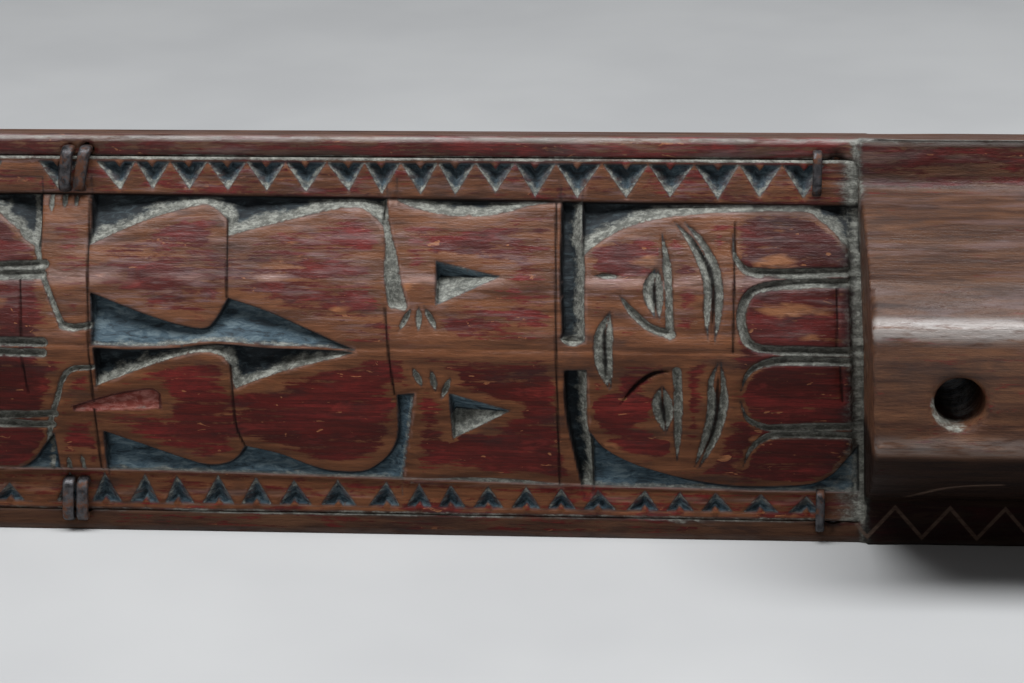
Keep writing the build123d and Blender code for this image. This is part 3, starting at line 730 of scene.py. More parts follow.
def build_panel():
    """The carved board: its relief as a fine grid, with plain sides and underside."""
    columns = int(PANEL_SPAN / PANEL_GRID)
    rows = int(2 * PANEL_HALF_WIDTH / PANEL_GRID)
    share = np.linspace(0, 1, columns)
    across = np.linspace(-PANEL_HALF_WIDTH, PANEL_HALF_WIDTH, rows)
    t, z = (g.ravel() for g in np.meshgrid(share, across, indexing="ij"))
    start = step_x(-1, z) - END_LAP
    x = start + t * (step_x(1, z) + END_LAP - start)
    relief = Relief(x, z)
    top = np.column_stack([x, RIM_STEP - relief.height(), z])
    n = np.arange(columns * rows).reshape(columns, rows)
    a, b, c, d = (g.ravel() for g in (n[:-1, :-1], n[:-1, 1:], n[1:, 1:], n[1:, :-1]))
    faces = list(np.column_stack([a, b, c, d]))
    ring = np.concatenate([n[:-1, 0], n[-1, :-1], n[:0:-1, -1], n[0, :0:-1]])
    low = top[ring].copy()
    low[:, 1] = RIM_STEP + PANEL_THICKNESS
    count = len(top)
    under = count + np.arange(len(ring))
    faces += list(np.column_stack([ring, under, np.roll(under, -1), np.roll(ring, -1)])[:, ::-1])
    faces.append(under)
    panel = mesh_object("carved_cover_panel", np.vstack([top, low]), faces)
    fix_normals(panel)
    thin_out(panel, PIECE_TRIANGLES)
    spots = to_stick(read_points(panel.data))
    masks = Relief(spots[:, 0], spots[:, 2]).paint
    back = spots[:, 1] > RIM_STEP + CARVED_DEPTH
    for name in masks:
        masks[name] = np.where(back, 0.0, masks[name])
    store_layers(panel.data, masks)
    panel.data.shade_smooth()
    return settle(panel, "cover_panel")


def fix_normals(piece):
    work = bmesh.new()
    work.from_mesh(piece.data)
    bmesh.ops.recalc_face_normals(work, faces=work.faces)
    work.to_mesh(piece.data)
    work.free()


# ---------------------------------------------------------------- the stick's body

def build_body():
    """The hewn bar: the CAD solid's own shape with worn edges and a knife-cut surface."""
    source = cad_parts["stick_body"]
    body = bpy.data.objects.new("hewn_stick_body", source.data.copy())
    bpy.context.scene.collection.objects.link(body)
    body.data.materials.clear()
    remesh = body.modifiers.new("wear", "REMESH")
    remesh.mode = "VOXEL"
    remesh.voxel_size = BODY_VOXEL * MM
    remesh.adaptivity = 0.0
    apply_modifiers(body)
    mesh = body.data
    mesh.shade_smooth()
    spots = to_stick(read_points(mesh))
    normals = np.empty(len(mesh.vertices) * 3)
    mesh.vertex_normals.foreach_get("vector", normals)
    normals = normals.reshape(-1, 3)
    hewn = 0.35 * layered_noise(spots, (34.0, 9.0, 9.0), 71, 2) ** 1.5
    dents = 0.08 * noise(spots, (9.0, 3.0, 3.0), 72) + 0.05 * noise(spots, (14.0, 0.9, 0.9), 73)
    x, y, z = spots.T
    inner = (y > RIM_STEP + 1.0) & (np.abs(z) < PANEL_HALF_WIDTH + 0.4)
    inner &= (x > LEFT_STEP - 0.5) & (x < RIGHT_STEP + 2.8)
    amount = np.where(inner, 0.0, hewn + dents)
    end = np.where(x > 0, x - step_x(1, z), LEFT_STEP - x)
    beside_face = smoothstep(-6.0, -2.0, y) * (y < RIM_STEP + 1.2)
    amount = amount * (1 - 0.88 * beside_face * smoothstep(7.0, 0.0, end))
    moved = read_points(mesh) - normals * (amount * MM)[:, None]
    mesh.vertices.foreach_set("co", moved.ravel())
    mesh.update()
    thin_out(body, PIECE_TRIANGLES)
    store_layers(body.data, body_layers(to_stick(read_points(body.data))))
    body.data.shade_smooth()
    return settle(body, "stick_body")


def body_layers(spots):
    """Paint, wear, painted shade and painted highlights on the bar."""
    x, y, z = spots.T
    rough = layered_noise(spots, (16.0, 3.0, 3.0), 81)
    end = np.where(x > 0, x - step_x(1, z), LEFT_STEP - x)
    block = end > 0
    upper = z > 0
    face = np.abs(y - RIM_STEP) < 0.9
    on_rim = face & (np.abs(z) > PANEL_HALF_WIDTH - 0.3) & (end < 0)
    inner = (y > RIM_STEP + 1.2) & (np.abs(z) < PANEL_HALF_WIDTH + 0.4) & (end < 0.3)
    front = (y < -BLOCK_PROUD + 4.5) & block
    beside = x - np.sign(x) * (PANEL_SPAN / 2 + CORD_HOLE_FROM_STEP)
    below = z + CORD_HOLE_DROP
    hole = np.hypot(beside, below)

    red = np.where(block, 0.12, 0.5)
    # The lower rim keeps less red: painted shade on the side away from the light.
    red = np.where(on_rim, np.where(upper, 0.65, 0.35), red)
    red = np.where(block & (np.abs(z) > 20.6) & (y < 1), 0.65, red)
    red = np.where(front, 0.15 + 0.2 * spread(hole, 3.0, 5.0), red)
    red = np.where(y > 1.2, 0.05, red)

    # Painted highlights along the rim's top arris and the block's front edge, fainter on the lower side; red
    # is cleared beneath them.
    arris_highlight = spread(np.hypot(np.abs(z) - HALF_FACE, y - 0.3), 0.4, 0.45)
    front_edge_highlight = spread(np.hypot(np.abs(z) - BLOCK_FRONT_HALF, y + BLOCK_PROUD), 0.7, 1.4)
    edge = np.maximum(arris_highlight, front_edge_highlight) * np.where(upper, 1, 0.3)

    lower_left = smoothstep(0.4, 2.6, -0.7 * (beside + below))
    lip = spread(hole, CORD_HOLE_RADIUS + 0.4, 0.6) * front * lower_left
    step = spread(np.abs(end), 0.3, 0.9) * (y < RIM_STEP + 0.5) * smoothstep(-4.5, -1.5, y)
    seam = face * (end < 0) * spread(np.abs(z) - PANEL_HALF_WIDTH, 0.15, 0.3)
    seam = seam * (0.4 + 0.9 * smoothstep(0.3, 0.7, noise(spots, (4.0, 2.0, 2.0), 83)))

    # Painted shade under the block, and patchy painted shade on its upper facets where the key light falls
    # strongest.
    under = 0.95 * smoothstep(-7.6, -9.6, z) * (y < RIM_STEP) * block
    shaded = 0.42 * rough * block * smoothstep(7.5, 11.0, z) * (y < RIM_STEP)
    patches = 0.25 * smoothstep(0.62, 0.75, rough) * (1 - arris_highlight)
    # Painted shade on the lower rim, and real iron stains round the nails.
    shade_and_stain = 0.5 * on_rim * (z < 0)
    for low, high in node_parts("corner_nails"):
        away = np.hypot(x - (low[0] + high[0]) / 2, z - (low[2] + high[2]) / 2)
        shade_and_stain = np.maximum(shade_and_stain, 0.9 * spread(away, 0.8, 0.7) * face)

    layers = dict.fromkeys(LAYERS, np.zeros(len(x)))
    layers["ground"] = np.where(inner, 0.0, np.maximum(0.35 * step, 0.5 * seam))
    # Lime at the hole's lip, in the steps and the seam, and as a whitened painted highlight on the upper
    # arris.
    layers["lime"] = np.maximum.reduce([0.75 * lip, 1.12 * step * rough, 0.6 * seam, 0.62 * arris_highlight * upper])
    layers["red"] = np.where(inner, 0.0, red * (1 - 0.8 * arris_highlight))
    layers["edge"] = np.where(inner, 0.0, edge)
    layers["shade_and_grime"] = np.maximum.reduce([patches, under, shaded, shade_and_stain])
    return layers


# ---------------------------------------------------------------- iron, pegs and seeds

def tube(route, radius, flat, seed, sides=14, square=1.0):
    """A closed rod along a route, with its own radius at each point and a hammered surface.

    Its section is a circle when square is 1, and nearer a rectangle when square is less."""
    route = np.asarray(route, float)
    tangent = np.gradient(route, axis=0)
    tangent /= np.linalg.norm(tangent, axis=1)[:, None]
    side = np.array([1.0, 0.0, 0.0])
    points = []
    for at, along, r in zip(route, tangent, radius):
        across = side - along * side.dot(along)
        across /= np.linalg.norm(across)
        out = np.cross(along, across)
        for k in range(sides):
            angle = 2 * math.pi * k / sides
            wide = math.copysign(abs(math.cos(angle)) ** square, math.cos(angle))
            deep = math.copysign(abs(math.sin(angle)) ** square, math.sin(angle))
            points.append(at + r * (across * wide + flat * out * deep))
    points = np.array(points)
    centre = np.repeat(route, sides, axis=0)
    bumps = 0.86 + 0.14 * layered_noise(points, (0.7, 0.7, 0.9), seed, 2)
    points = centre + (points - centre) * bumps[:, None]
    faces = []
    rings = len(route)
    for ring in range(rings - 1):
        for k in range(sides):
            a = ring * sides + k
            b = ring * sides + (k + 1) % sides
            faces.append((a, b, b + sides, a + sides))
    faces.append(tuple(range(sides))[::-1])
    faces.append(tuple((rings - 1) * sides + k for k in range(sides)))
    return points, faces


def gather(parts):
    """Several (points, faces) as one."""
    points, faces, start = [], [], 0
    for own, own_faces in parts:
        points.append(own)
        faces += [tuple(start + int(i) for i in f) for f in own_faces]
        start += len(own)
    return np.vstack(points), faces


PEG_RINGS = 12
PAIR_RADIUS = 0.85
END_RADIUS = 0.65
STAPLE_OUTER = 24.5
STAPLE_INNER = 19.4
STAPLE_RISE = 1.1
STAPLE_LEG = 5.6
STAPLE_BEND = 1.0
STAPLE_FLAT = 0.65           # thickness as a share of width
STAPLE_SQUARE = 0.6          # how near a rectangle the section is: 1 is round
STAPLE_SIDES = 20
UPPER_PAIR = [(4.4, 7.0), (6.69, 12.0)]
LOWER_PAIR = [(2.2, -3.0), (4.05, -3.0)]
UPPER_END = 4.9
LOWER_END = 5.8


def staple(x, side, slant, radius, seed):
    """A staple of hammered wire: two tapered legs and a bowed crown over the seam."""
    shoulder = STAPLE_RISE - STAPLE_BEND
    arc = np.linspace(0, math.pi / 2, 6)[1:-1]
    leg = np.linspace(STAPLE_LEG, 0, 5)
    outer = STAPLE_OUTER - STAPLE_BEND
    inner = STAPLE_INNER + STAPLE_BEND
    route = [(depth, STAPLE_OUTER) for depth in leg]
    route += [(-shoulder - STAPLE_BEND * math.sin(a), outer + STAPLE_BEND * math.cos(a)) for a in arc]
    route += [(-STAPLE_RISE, z) for z in np.linspace(outer, inner, 9)]
    route += [(-shoulder - STAPLE_BEND * math.cos(a), inner - STAPLE_BEND * math.sin(a)) for a in arc]
    route += [(depth, STAPLE_INNER) for depth in leg[::-1]]
    route = np.array([(0.0, y, z) for y, z in route])
    taper = 1 - 0.8 * np.clip(route[:, 1] / STAPLE_LEG, 0, 1)
    turn = math.radians(slant)
    dz = route[:, 2] - STAPLE_OUTER
    route[:, 0] = dz * math.sin(turn)
    route[:, 2] = side * (STAPLE_OUTER + dz * math.cos(turn))
    route += (x, RIM_STEP, 0)
    return tube(route, 0.98 * radius * taper, STAPLE_FLAT, seed, STAPLE_SIDES, STAPLE_SQUARE)


def build_iron():
    joints = [RIGHT_STEP - FIGURE_LENGTH * k for k in range(1, FIGURE_COUNT)]
    pieces = []
    sides = ((1, UPPER_PAIR, UPPER_END, "upper"), (-1, LOWER_PAIR, LOWER_END, "lower"))
    for side, pair, offset, word in sides:
        pairs = [staple(joint + shift, side, slant, PAIR_RADIUS, 100 + n)
                 for n, joint in enumerate(joints) for shift, slant in pair]
        steps = [(end, float(step_x(end, np.array(side * STAPLE_OUTER)))) for end in (-1, 1)]
        singles = [staple(step - end * offset, side, 0, END_RADIUS, 120 + end) for end, step in steps]
        for node, parts in ((f"{word}_pair_staples", pairs), (f"{word}_end_staples", singles)):
            pieces.append(finish_piece(f"forged_{node}", gather(parts), node))
    nails = [shank(low, high, 9, 1.0, 140 + n, 10)
             for n, (low, high) in enumerate(node_parts("corner_nails"))]
    pieces.append(finish_piece("broken_nails", gather(nails), "corner_nails"))
    return pieces


def shank(low, high, rings, taper, seed, sides):
    """A nail or peg that fills its CAD solid's box, front to back."""
    middle = (low + high) / 2
    depth = np.linspace(low[1], high[1], rings)
    route = np.column_stack([np.full(rings, middle[0]), depth, np.full(rings, middle[2])])
    radius = (high[0] - low[0]) / 2 * taper * np.ones(rings)
    return tube(route, radius, 1.0, seed, sides)


def finish_piece(name, shape, node, body="stick"):
    piece = mesh_object(name, *shape)
    fix_normals(piece)
    return settle(piece, node, body)


def node_parts(node):
    """The boxes of a node's separate solids, in stick axes: (low, high) for each."""
    work = bmesh.new()
    work.from_mesh(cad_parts[node].data)
    bmesh.ops.remove_doubles(work, verts=work.verts, dist=1e-7)
    left = set(work.verts)
    boxes = []
    while left:
        stack = [left.pop()]
        group = []
        while stack:
            vert = stack.pop()
            group.append(vert.co[:])
            for edge in vert.link_edges:
                other = edge.other_vert(vert)
                if other in left:
                    left.remove(other)
                    stack.append(other)
        spots = to_stick(np.array(group))
        boxes.append((spots.min(0), spots.max(0)))
    work.free()
    return sorted(boxes, key=lambda box: box[0][0])


def build_pegs():
    """Whittled pegs: eight flats, a slight taper and a cut top."""
    pieces = []
    for row in range(1, 6):
        node = f"peg_row_{row}"
        parts = []
        for n, (low, high) in enumerate(node_parts(node)):
            top = np.clip(np.linspace(0, high[1] - low[1], PEG_RINGS) / 1.2, 0, 1)
            parts.append(shank(low, high, PEG_RINGS, 0.7 + 0.28 * top ** 0.5, 200 + 31 * row + n, 8))
        piece = finish_piece(f"whittled_{node}", gather(parts), node)
        piece.data.shade_flat()
        pieces.append(piece)
    return pieces


def seed_shape(low, high, seed, rings=10, sides=14):
    """A plump dry seed with a wrinkled skin."""
    middle = (low + high) / 2
    half = (high - low) / 2
    points = [middle - (half[0], 0, 0)]
    for ring in range(1, rings):
        a = math.pi * ring / rings
        for k in range(sides):
            b = 2 * math.pi * k / sides
            way = (-math.cos(a), math.sin(a) * math.cos(b), math.sin(a) * math.sin(b))
            points.append(middle + half * way)
    points.append(middle + (half[0], 0, 0))
    points = np.array(points)
    skin = 0.88 + 0.12 * layered_noise(points, (1.3, 1.0, 1.0), seed, 2)
    points = middle + (points - middle) * skin[:, None]
    faces = [(0, 1 + (k + 1) % sides, 1 + k) for k in range(sides)]
    for ring in range(rings - 2):
        for k in range(sides):
            a = 1 + ring * sides + k
            b = 1 + ring * sides + (k + 1) % sides
            faces.append((a, b, b + sides, a + sides))
    last = len(points) - 1
    first = 1 + (rings - 2) * sides
    faces += [(last, first + k, first + (k + 1) % sides) for k in range(sides)]
    return points, faces


def build_seeds():
    pieces = []
    for stream in range(1, 5):
        node = f"seed_stream_{stream}"
        seeds = [seed_shape(low, high, 300 + 40 * stream + n)
                 for n, (low, high) in enumerate(node_parts(node))]
        pieces.append(finish_piece(f"dry_{node}", gather(seeds), node, f"seeds_{stream}"))
    return pieces


# ---------------------------------------------------------------- materials

class Shader:
    """A short way to write a node tree."""

    def __init__(self, name):
        self.material = bpy.data.materials.new(name)
        self.material.use_nodes = True
        self.tree = self.material.node_tree
        self.surface = self.tree.nodes["Principled BSDF"]
        self.textures = {}
        coordinates = self.node("ShaderNodeTexCoord")
        turned = self.node("ShaderNodeMapping")
        turned.inputs["Rotation"].default_value = (LEAN, 0, 0)
        turned.inputs["Scale"].default_value = (1000, 1000, 1000)
        turned.inputs["Location"].default_value = tuple(to_stick([(0.0, 0.0, 0.0)])[0])
        self.link(coordinates.outputs["Object"], turned.inputs["Vector"])
        self.stick = turned.outputs["Vector"]
        parts = self.node("ShaderNodeSeparateXYZ")
        self.link(self.stick, parts.inputs["Vector"])
        self.along, self.back, self.across = parts.outputs

    def node(self, kind):
        return self.tree.nodes.new(kind)

    def link(self, source, target):
        self.tree.links.new(source, target)

    def put(self, value, socket):
        if isinstance(value, bpy.types.NodeSocket):
            self.link(value, socket)
        else:
            socket.default_value = value

    def noise(self, size, detail=3.0, rough=0.55, distortion=0.0, seed=0.0):
        """Noise from 0 to 1 whose grain is size millimetres along, back and across the stick."""
        place = self.node("ShaderNodeMapping")
        place.inputs["Scale"].default_value = tuple(1.0 / s for s in size)
        place.inputs["Location"].default_value = (seed, seed * 1.7, seed * 2.3)
        self.link(self.stick, place.inputs["Vector"])
        made = self.node("ShaderNodeTexNoise")
        made.inputs["Scale"].default_value = 1.0
        made.inputs["Detail"].default_value = detail
        made.inputs["Roughness"].default_value = rough
        made.inputs["Distortion"].default_value = distortion
        self.link(place.outputs["Vector"], made.inputs["Vector"])
        return made.outputs["Fac"]

    def texture(self, name):
        """One of the painted wood's textures, made once."""
        if name not in self.textures:
            self.textures[name] = self.noise(*TEXTURES[name])
        return self.textures[name]

    def attribute(self, name):
        made = self.node("ShaderNodeAttribute")
        made.attribute_name = name
        return made.outputs["Fac"]

    def math(self, operation, a, b=0.0, clamp=False):
        made = self.node("ShaderNodeMath")
        made.operation = operation
        made.use_clamp = clamp
        self.put(a, made.inputs[0])
        self.put(b, made.inputs[1])
        return made.outputs[0]

    def product(self, a, b):
        return self.math("MULTIPLY", a, b)

    def gap(self, a, b):
        return self.math("ABSOLUTE", self.math("SUBTRACT", a, b))

    def total(self, *values):
        result = values[0]
        for value in values[1:]:
            result = self.math("ADD", result, value)
        return result

    def ramp(self, value, low, high, start=0.0, end=1.0):
        """value from low..high to start..end, smoothly."""
        made = self.node("ShaderNodeMapRange")
        made.interpolation_type = "SMOOTHSTEP"
        self.put(value, made.inputs["Value"])
        self.put(low, made.inputs["From Min"])
        self.put(high, made.inputs["From Max"])
        made.inputs["To Min"].default_value = start
        made.inputs["To Max"].default_value = end
        return made.outputs["Result"]

    def mix(self, share, a, b):
        made = self.node("ShaderNodeMix")
        made.data_type = "RGBA"
        self.put(share, made.inputs["Factor"])
        self.put(a if isinstance(a, bpy.types.NodeSocket) else (*a, 1), made.inputs["A"])
        self.put(b if isinstance(b, bpy.types.NodeSocket) else (*b, 1), made.inputs["B"])
        return made.outputs["Result"]

    def over(self, colour, name, low, high, amount, tint):
        """tint over colour, by up to amount, where the texture goes from low to high."""
        return self.mix(self.ramp(self.texture(name), low, high, 0.0, amount), colour, tint)

    def bump(self, height, distance, strength=1.0, normal=None):
        made = self.node("ShaderNodeBump")
        made.inputs["Distance"].default_value = distance * MM
        made.inputs["Strength"].default_value = strength
        self.link(height, made.inputs["Height"])
        if normal is not None:
            self.link(normal, made.inputs["Normal"])
        return made.outputs["Normal"]

    def finish(self, colour, roughness, normal=None):
        self.put(colour, self.surface.inputs["Base Color"])
        self.put(roughness, self.surface.inputs["Roughness"])
        if normal is not None:
            self.link(normal, self.surface.inputs["Normal"])
        return self.material


# Each texture: grain size in millimetres along, back and across; detail, roughness, distortion, seed.
TEXTURES = {
    "grain": ((13.0, 1.3, 1.3), 5.0, 0.6, 0.3, 0.0),
    "fibre": ((6.0, 0.25, 0.25), 4.0, 0.65, 0.0, 5.0),
    "cloud": ((18.0, 6.0, 6.0), 3.0, 0.55, 0.0, 9.0),
    "mottle": ((1.6, 0.7, 0.7), 4.0, 0.7, 0.4, 11.0),
    "patch": ((8.0, 2.1, 2.1), 4.0, 0.7, 0.5, 13.0),
    "streak": ((11.0, 0.5, 0.5), 4.0, 0.6, 0.0, 17.0),
    "chips": ((2.6, 0.9, 0.9), 3.0, 0.6, 0.8, 23.0),
    "grime": ((9.0, 2.6, 2.6), 5.0, 0.65, 0.2, 29.0),
    "rubbing": ((4.0, 0.8, 0.8), 3.0, 0.6, 0.0, 31.0),
    "pigment": ((2.6, 0.8, 0.8), 5.0, 0.7, 0.6, 37.0),
    "crumble": ((2.4, 0.7, 0.7), 4.0, 0.7, 0.0, 41.0),
    "speck": ((0.4, 0.3, 0.3), 2.0, 0.6, 0.0, 43.0),
    "lump": ((1.3, 0.8, 0.8), 4.0, 0.7, 0.3, 47.0),
}

PANEL_LIGHT = (0.168, 0.064, 0.028)
PANEL_DARK = (0.066, 0.024, 0.011)
# The panel's edge colour: rubbed edges, partly painted highlight.
PANEL_EDGE_WEAR_AND_HIGHLIGHT = (0.34, 0.20, 0.165)
PANEL_SCUFF_AND_SHEEN_SIZE = (7.0, 0.8, 0.8)
BODY_LIGHT = (0.138, 0.062, 0.032)
BODY_DARK = (0.050, 0.022, 0.014)
# The body's edge colour: a painted highlight on the arris and the block's front edge.
BODY_EDGE_HIGHLIGHT = (0.34, 0.31, 0.29)
BODY_SCUFF_AND_SHEEN_SIZE = (17.0, 2.4, 2.4)
RED = (0.150, 0.0150, 0.0140)
RED_SHADE = (0.060, 0.0060, 0.0050)
RED_BROWN = (0.045, 0.007, 0.006)
RED_STREAK = (0.034, 0.005, 0.005)
RED_FRESH = (0.21, 0.026, 0.022)
RED_PORE = (0.025, 0.004, 0.004)
NEW_WOOD_DARK = (0.20, 0.070, 0.028)
NEW_WOOD = (0.36, 0.155, 0.070)
# Pale scuffs on the upper side: partly scratches, partly painted sheen.
SCUFF_AND_SHEEN_DARK = (0.138, 0.090, 0.098)
SCUFF_AND_SHEEN = (0.208, 0.130, 0.112)
GRIME = (0.026, 0.017, 0.016)
ROSE_DARK = (0.16, 0.030, 0.024)
ROSE = (0.33, 0.13, 0.11)
BLUE_BLACK = (0.0110, 0.0155, 0.0190)
SLATE = (0.046, 0.074, 0.094)
SLATE_BRUSHED = (0.125, 0.165, 0.180)
SLATE_PORE = (0.010, 0.012, 0.014)
LIME = (0.290, 0.292, 0.256)
LIME_DIRTY = (0.110, 0.111, 0.096)
LIME_SPECK = (0.060, 0.058, 0.050)
LIME_RUBBED = (0.075, 0.075, 0.064)
# The darkest colour: grime, and painted shade in cuts, grooves and under the block.
SHADE_AND_SOOT = (0.007, 0.006, 0.006)
SCRATCH = (0.085, 0.056, 0.042)


def bare_grain(s, light, dark):
    pores = tuple(0.3 * c for c in dark)
    wood = s.mix(s.ramp(s.texture("grain"), 0.3, 0.7), dark, light)
    wood = s.over(wood, "fibre", 0.5, 0.72, 0.35, pores)
    return s.over(wood, "mottle", 0.5, 0.75, 0.3, light)


def red_paint(s, wood):
    """Worn red paint, and small chips and bare patches in it."""
    parts = [s.product(s.texture(name), share)
             for name, share in (("patch", 0.42), ("streak", 0.38), ("mottle", 0.20))]
    level = s.total(s.product(s.attribute("red"), 0.22), s.total(*parts))
    share = s.ramp(level, 0.59, 0.67, 0.0, 0.94)
    red = s.mix(s.ramp(s.texture("cloud"), 0.35, 0.65), RED_SHADE, RED)
    red = s.over(red, "mottle", 0.42, 0.7, 0.5, RED_BROWN)
    red = s.over(red, "streak", 0.58, 0.42, 0.6, RED_STREAK)
    red = s.over(red, "patch", 0.55, 0.68, 0.4, RED_FRESH)
    red = s.over(red, "fibre", 0.5, 0.75, 0.5, RED_PORE)
    colour = s.mix(share, wood, red)
    chips = s.product(s.ramp(s.texture("chips"), 0.66, 0.69), share)
    chips = s.math("MAXIMUM", chips, s.attribute("bare"))
    return s.mix(chips, colour, s.mix(s.texture("mottle"), NEW_WOOD_DARK, NEW_WOOD))


def wear_sheen_and_highlight(s, colour, edge_wear_and_highlight, scuffs_and_sheen_above, scuff_and_sheen_size):
    """Pale scuffs and painted sheen on what faces up, grime, and rubbed edges with painted highlights."""
    # Scuffs only above a line across the face: scratches with painted sheen where the light falls.
    above = s.ramp(s.across, scuffs_and_sheen_above - 4.0, scuffs_and_sheen_above + 4.0)
    scuffs_and_sheen = s.noise(scuff_and_sheen_size, 4.0, 0.65, 0.0, 19.0)
    share = s.product(s.product(s.ramp(scuffs_and_sheen, 0.50, 0.66), above), 0.50)
    colour = s.mix(share, colour, s.mix(s.texture("cloud"), SCUFF_AND_SHEEN_DARK, SCUFF_AND_SHEEN))
    colour = s.over(colour, "grime", 0.50, 0.72, 0.55, GRIME)
    # Rubbed edges, with painted highlights on them.
    edge = s.product(s.attribute("edge"), s.ramp(s.texture("rubbing"), 0.3, 0.55))
    return s.mix(s.product(edge, 0.75), colour, edge_wear_and_highlight)


def grounds(s, colour):
    """Rose, slate and blue-black paint in the recesses."""
    rose = s.mix(s.ramp(s.texture("mottle"), 0.4, 0.65), ROSE_DARK, ROSE)
    colour = s.mix(s.product(s.attribute("rose"), 0.85), colour, rose)
    slate = s.attribute("slate")
    brushed = s.product(s.ramp(s.texture("pigment"), 0.48, 0.64), s.total(0.22, s.product(slate, 0.5)))
    blue = s.mix(brushed, s.mix(slate, BLUE_BLACK, SLATE), SLATE_BRUSHED)
    blue = s.over(blue, "pigment", 0.50, 0.36, 0.7, SLATE_PORE)
    share = s.product(s.attribute("ground"), s.ramp(s.texture("crumble"), 0.2, 0.36, 0.6, 1.0))
    return s.mix(share, colour, blue)


def lime_fill(s, colour):
    """Pale crumbling lime."""
    tone = s.mix(s.ramp(s.texture("lump"), 0.38, 0.62), LIME_DIRTY, LIME)
    tone = s.over(tone, "speck", 0.55, 0.36, 0.5, LIME_SPECK)
    tone = s.over(tone, "crumble", 0.45, 0.7, 0.6, LIME_RUBBED)
    uneven = s.math("SUBTRACT", s.total(s.texture("crumble"), s.texture("lump")), 1.0)
    level = s.total(s.attribute("lime"), s.product(uneven, 0.9))
    return s.mix(s.ramp(level, 0.25, 0.85, 0.0, 0.94), colour, tone)


def painted_wood(name, light, dark, edge_wear_and_highlight, scuffs_and_sheen_above, scuff_and_sheen_size, marks=None):
    """Hardwood with worn red paint, blue-black grounds and lime in the cuts, with painted shade and painted
    highlights.
    """
    s = Shader(name)
    colour = red_paint(s, bare_grain(s, light, dark))
    colour = wear_sheen_and_highlight(s, colour, edge_wear_and_highlight, scuffs_and_sheen_above, scuff_and_sheen_size)
    colour = lime_fill(s, grounds(s, colour))
    shade_and_grime = s.attribute("shade_and_grime")
    # Soot dark where creases hold grime, and as painted shade in cuts, grooves and under the block.
    colour = s.mix(s.product(shade_and_grime, 0.93), colour, SHADE_AND_SOOT)
    if marks is not None:
        share = s.product(marks(s), s.ramp(s.texture("mottle"), 0.3, 0.6, 0.35, 0.85))
        colour = s.mix(share, colour, SCRATCH)
    matt = s.math("MAXIMUM", s.attribute("ground"), s.attribute("lime"))
    glaze = s.ramp(s.texture("grime"), 0.3, 0.7, 0.34, 0.52)
    rough = s.math("ADD", glaze, s.product(matt, 0.3), True)
    shine = s.total(s.ramp(s.across, -6.0, 6.0, 0.10, 0.30), s.product(s.attribute("edge"), 0.5))
    s.link(s.product(shine, s.ramp(shade_and_grime, 0.0, 1.0, 1.0, 0.15)), s.surface.inputs["Specular IOR Level"])
    normal = None
    for texture, depth, strength in (("fibre", 0.12, 0.6), ("patch", 0.25, 0.5), ("mottle", 0.16, 0.5),
                                     ("pigment", 0.20, 0.4), ("speck", 0.03, 0.4)):
        normal = s.bump(s.texture(texture), depth, strength, normal)
    return s.finish(colour, rough, normal)


ZIGZAG_HALF = 3.5            # half a zigzag along the block
ZIGZAG_RISE = 1.15           # its slope
ARC_RADIUS = 11.0
ARC_FROM_STEP = 18.0


def block_marks(s):
    """Zigzags scribed along the blocks' lower margin, and an arc on the facet above."""
    x, y, z = s.along, s.back, s.across
    fold = s.math("PINGPONG", s.total(x, 0.9), ZIGZAG_HALF)
    zigzag = s.ramp(s.gap(s.total(z, 25.4), s.product(fold, ZIGZAG_RISE)), 0.5, 0.2)
    zigzag = s.product(zigzag, s.product(s.ramp(z, -20.4, -20.9), s.ramp(y, 2.0, 1.0)))
    side = s.math("SUBTRACT", s.math("ABSOLUTE", x), PANEL_SPAN / 2)
    centre = s.math("SUBTRACT", side, ARC_FROM_STEP)
    depth = s.math("POWER", s.math("ABSOLUTE", s.total(y, 3.0)), 2.0)
    ring = s.math("SQRT", s.total(s.product(centre, centre), depth))
    arc = s.ramp(s.gap(ring, ARC_RADIUS), 0.6, 0.2)
    arc = s.product(arc, s.product(s.ramp(y, -4.0, -5.0), s.ramp(side, 18.5, 17.5)))
    arc = s.product(arc, s.ramp(z, -12.0, -12.6))
    return s.product(s.math("MAXIMUM", zigzag, arc), s.ramp(side, 0.6, 1.4))


def old_iron():
    s = Shader("rusted_iron")
    scale = s.noise((0.9, 0.9, 0.9), 5.0, 0.65, 0.3)
    rust = s.noise((1.8, 1.8, 1.8), 4.0, 0.7, 0.0, 7.0)
    colour = s.mix(s.ramp(scale, 0.35, 0.65), (0.016, 0.015, 0.017), (0.074, 0.070, 0.074))
    colour = s.mix(s.ramp(rust, 0.47, 0.64, 0.0, 0.85), colour, (0.115, 0.042, 0.018))
    s.surface.inputs["Metallic"].default_value = 0.55
    bump = s.bump(scale, 0.12, 0.8)
    return s.finish(colour, s.ramp(rust, 0.4, 0.7, 0.36, 0.8), bump)


def bare_wood():
    s = Shader("whittled_wood")
    grain = s.noise((0.5, 6.0, 0.5), 4.0, 0.6)
    colour = s.mix(s.ramp(grain, 0.3, 0.7), (0.30, 0.17, 0.08), (0.52, 0.34, 0.18))
    return s.finish(colour, s.ramp(grain, 0.2, 0.8, 0.5, 0.7), s.bump(grain, 0.08, 0.6))


def seed_skin():
    s = Shader("dry_seed")
    mottle = s.noise((1.1, 1.1, 1.1), 4.0, 0.65, 0.5)
    colour = s.mix(s.ramp(mottle, 0.35, 0.65), (0.11, 0.055, 0.026), (0.33, 0.19, 0.09))
    return s.finish(colour, s.ramp(mottle, 0.3, 0.7, 0.3, 0.5), s.bump(mottle, 0.1, 0.5))


# ---------------------------------------------------------------- floor, light and camera

FLOOR_DARK = (0.40, 0.40, 0.40)
FLOOR_LIGHT = (0.44, 0.44, 0.437)


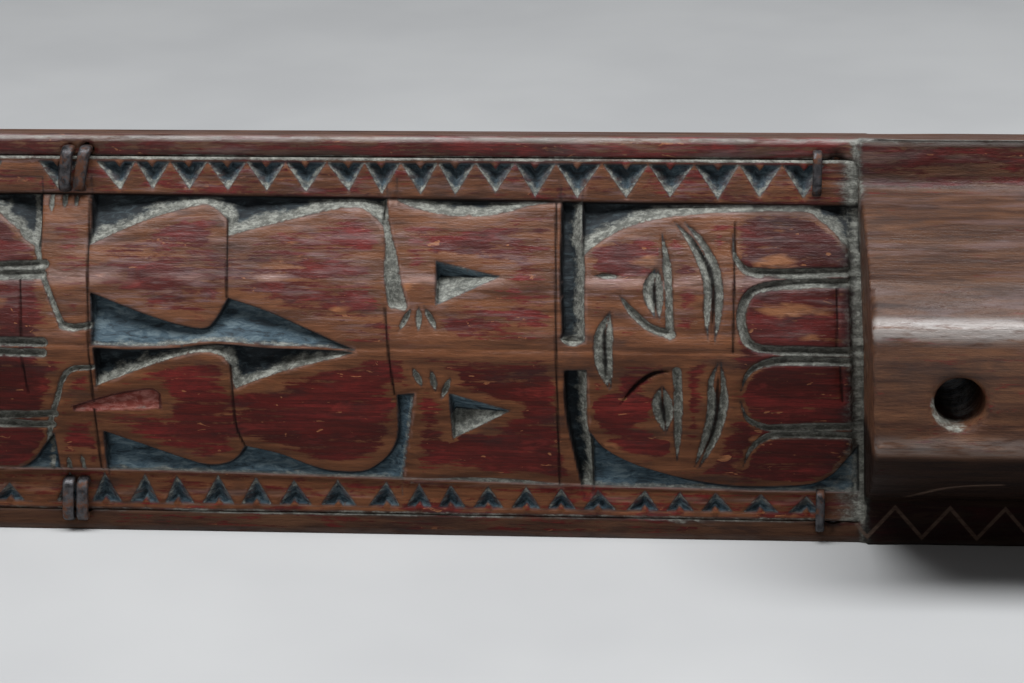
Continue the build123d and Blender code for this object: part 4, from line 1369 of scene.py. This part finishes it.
def build_stage():
    bpy.ops.mesh.primitive_plane_add(size=4.0, location=(0, 0, 0))
    floor = bpy.context.object
    floor.name = "floor"
    s = Shader("pale_floor")
    cloud = s.ramp(s.noise((60.0, 60.0, 60.0), 3.0), 0.3, 0.7)
    s.finish(s.mix(cloud, FLOOR_DARK, FLOOR_LIGHT), 0.85)
    floor.data.materials.append(s.material)


def area_light(name, place, target, size, power, tint):
    light = bpy.data.lights.new(name, "AREA")
    light.shape = "RECTANGLE"
    light.size, light.size_y = size
    light.energy = power
    light.color = tint
    made = bpy.data.objects.new(name, light)
    made.location = place
    aim = Vector(target) - Vector(place)
    made.rotation_euler = aim.to_track_quat("-Z", "Y").to_euler()
    bpy.context.scene.collection.objects.link(made)


def build_lights():
    middle = (0.1, 0.0, 0.03)
    area_light("key", (0.12, -0.19, 0.74), middle, (1.0, 0.30), 10.8, (0.96, 0.98, 1.0))
    area_light("front_fill", (-0.5, -0.9, 0.45), middle, (0.8, 0.6), 1.35, (1.0, 0.94, 0.88))
    world = bpy.data.worlds.new("studio")
    world.use_nodes = True
    world.node_tree.nodes["Background"].inputs["Color"].default_value = (0.80, 0.86, 0.95, 1)
    world.node_tree.nodes["Background"].inputs["Strength"].default_value = 0.12
    bpy.context.scene.world = world


def build_camera():
    """A long lens close to the head end, a little right of square and above the face."""
    azimuth = math.radians(4.63)
    elevation = math.radians(20.58)
    roll = math.radians(-0.98)
    distance = 0.320
    target = Vector(to_row([(RIGHT_STEP - 43.1, 0.0, 0.0)])[0])
    back = Vector((math.sin(azimuth) * math.cos(elevation), -math.cos(azimuth) * math.cos(elevation),
                   math.sin(elevation)))
    right = Vector((math.cos(azimuth), math.sin(azimuth), 0))
    up = back.cross(right)
    rolled_right = right * math.cos(roll) + up * math.sin(roll)
    rolled_up = up * math.cos(roll) - right * math.sin(roll)
    camera = bpy.data.cameras.new("camera")
    camera.lens = 88.0
    camera.sensor_width = 36.0
    camera.clip_start = 0.01
    made = bpy.data.objects.new("camera", camera)
    place = target + back * distance
    turn = Matrix((rolled_right, rolled_up, back)).transposed()
    made.matrix_world = Matrix.Translation(place) @ turn.to_4x4()
    bpy.context.scene.collection.objects.link(made)
    bpy.context.scene.camera = made


def dress(pieces, material):
    for piece in pieces:
        piece.data.materials.clear()
        piece.data.materials.append(material)


def main():
    build_camera()
    panel = build_panel()
    body = build_body()
    dress([panel], painted_wood("carved_panel_wood", PANEL_LIGHT, PANEL_DARK, PANEL_EDGE_WEAR_AND_HIGHLIGHT,
                                2.0, PANEL_SCUFF_AND_SHEEN_SIZE))
    dress([body], painted_wood("hewn_body_wood", BODY_LIGHT, BODY_DARK, BODY_EDGE_HIGHLIGHT,
                               6.0, BODY_SCUFF_AND_SHEEN_SIZE, block_marks))
    dress(build_iron(), old_iron())
    dress(build_pegs(), bare_wood())
    dress(build_seeds(), seed_skin())
    build_stage()
    build_lights()
    bpy.context.scene.view_settings.view_transform = "Standard"


main()
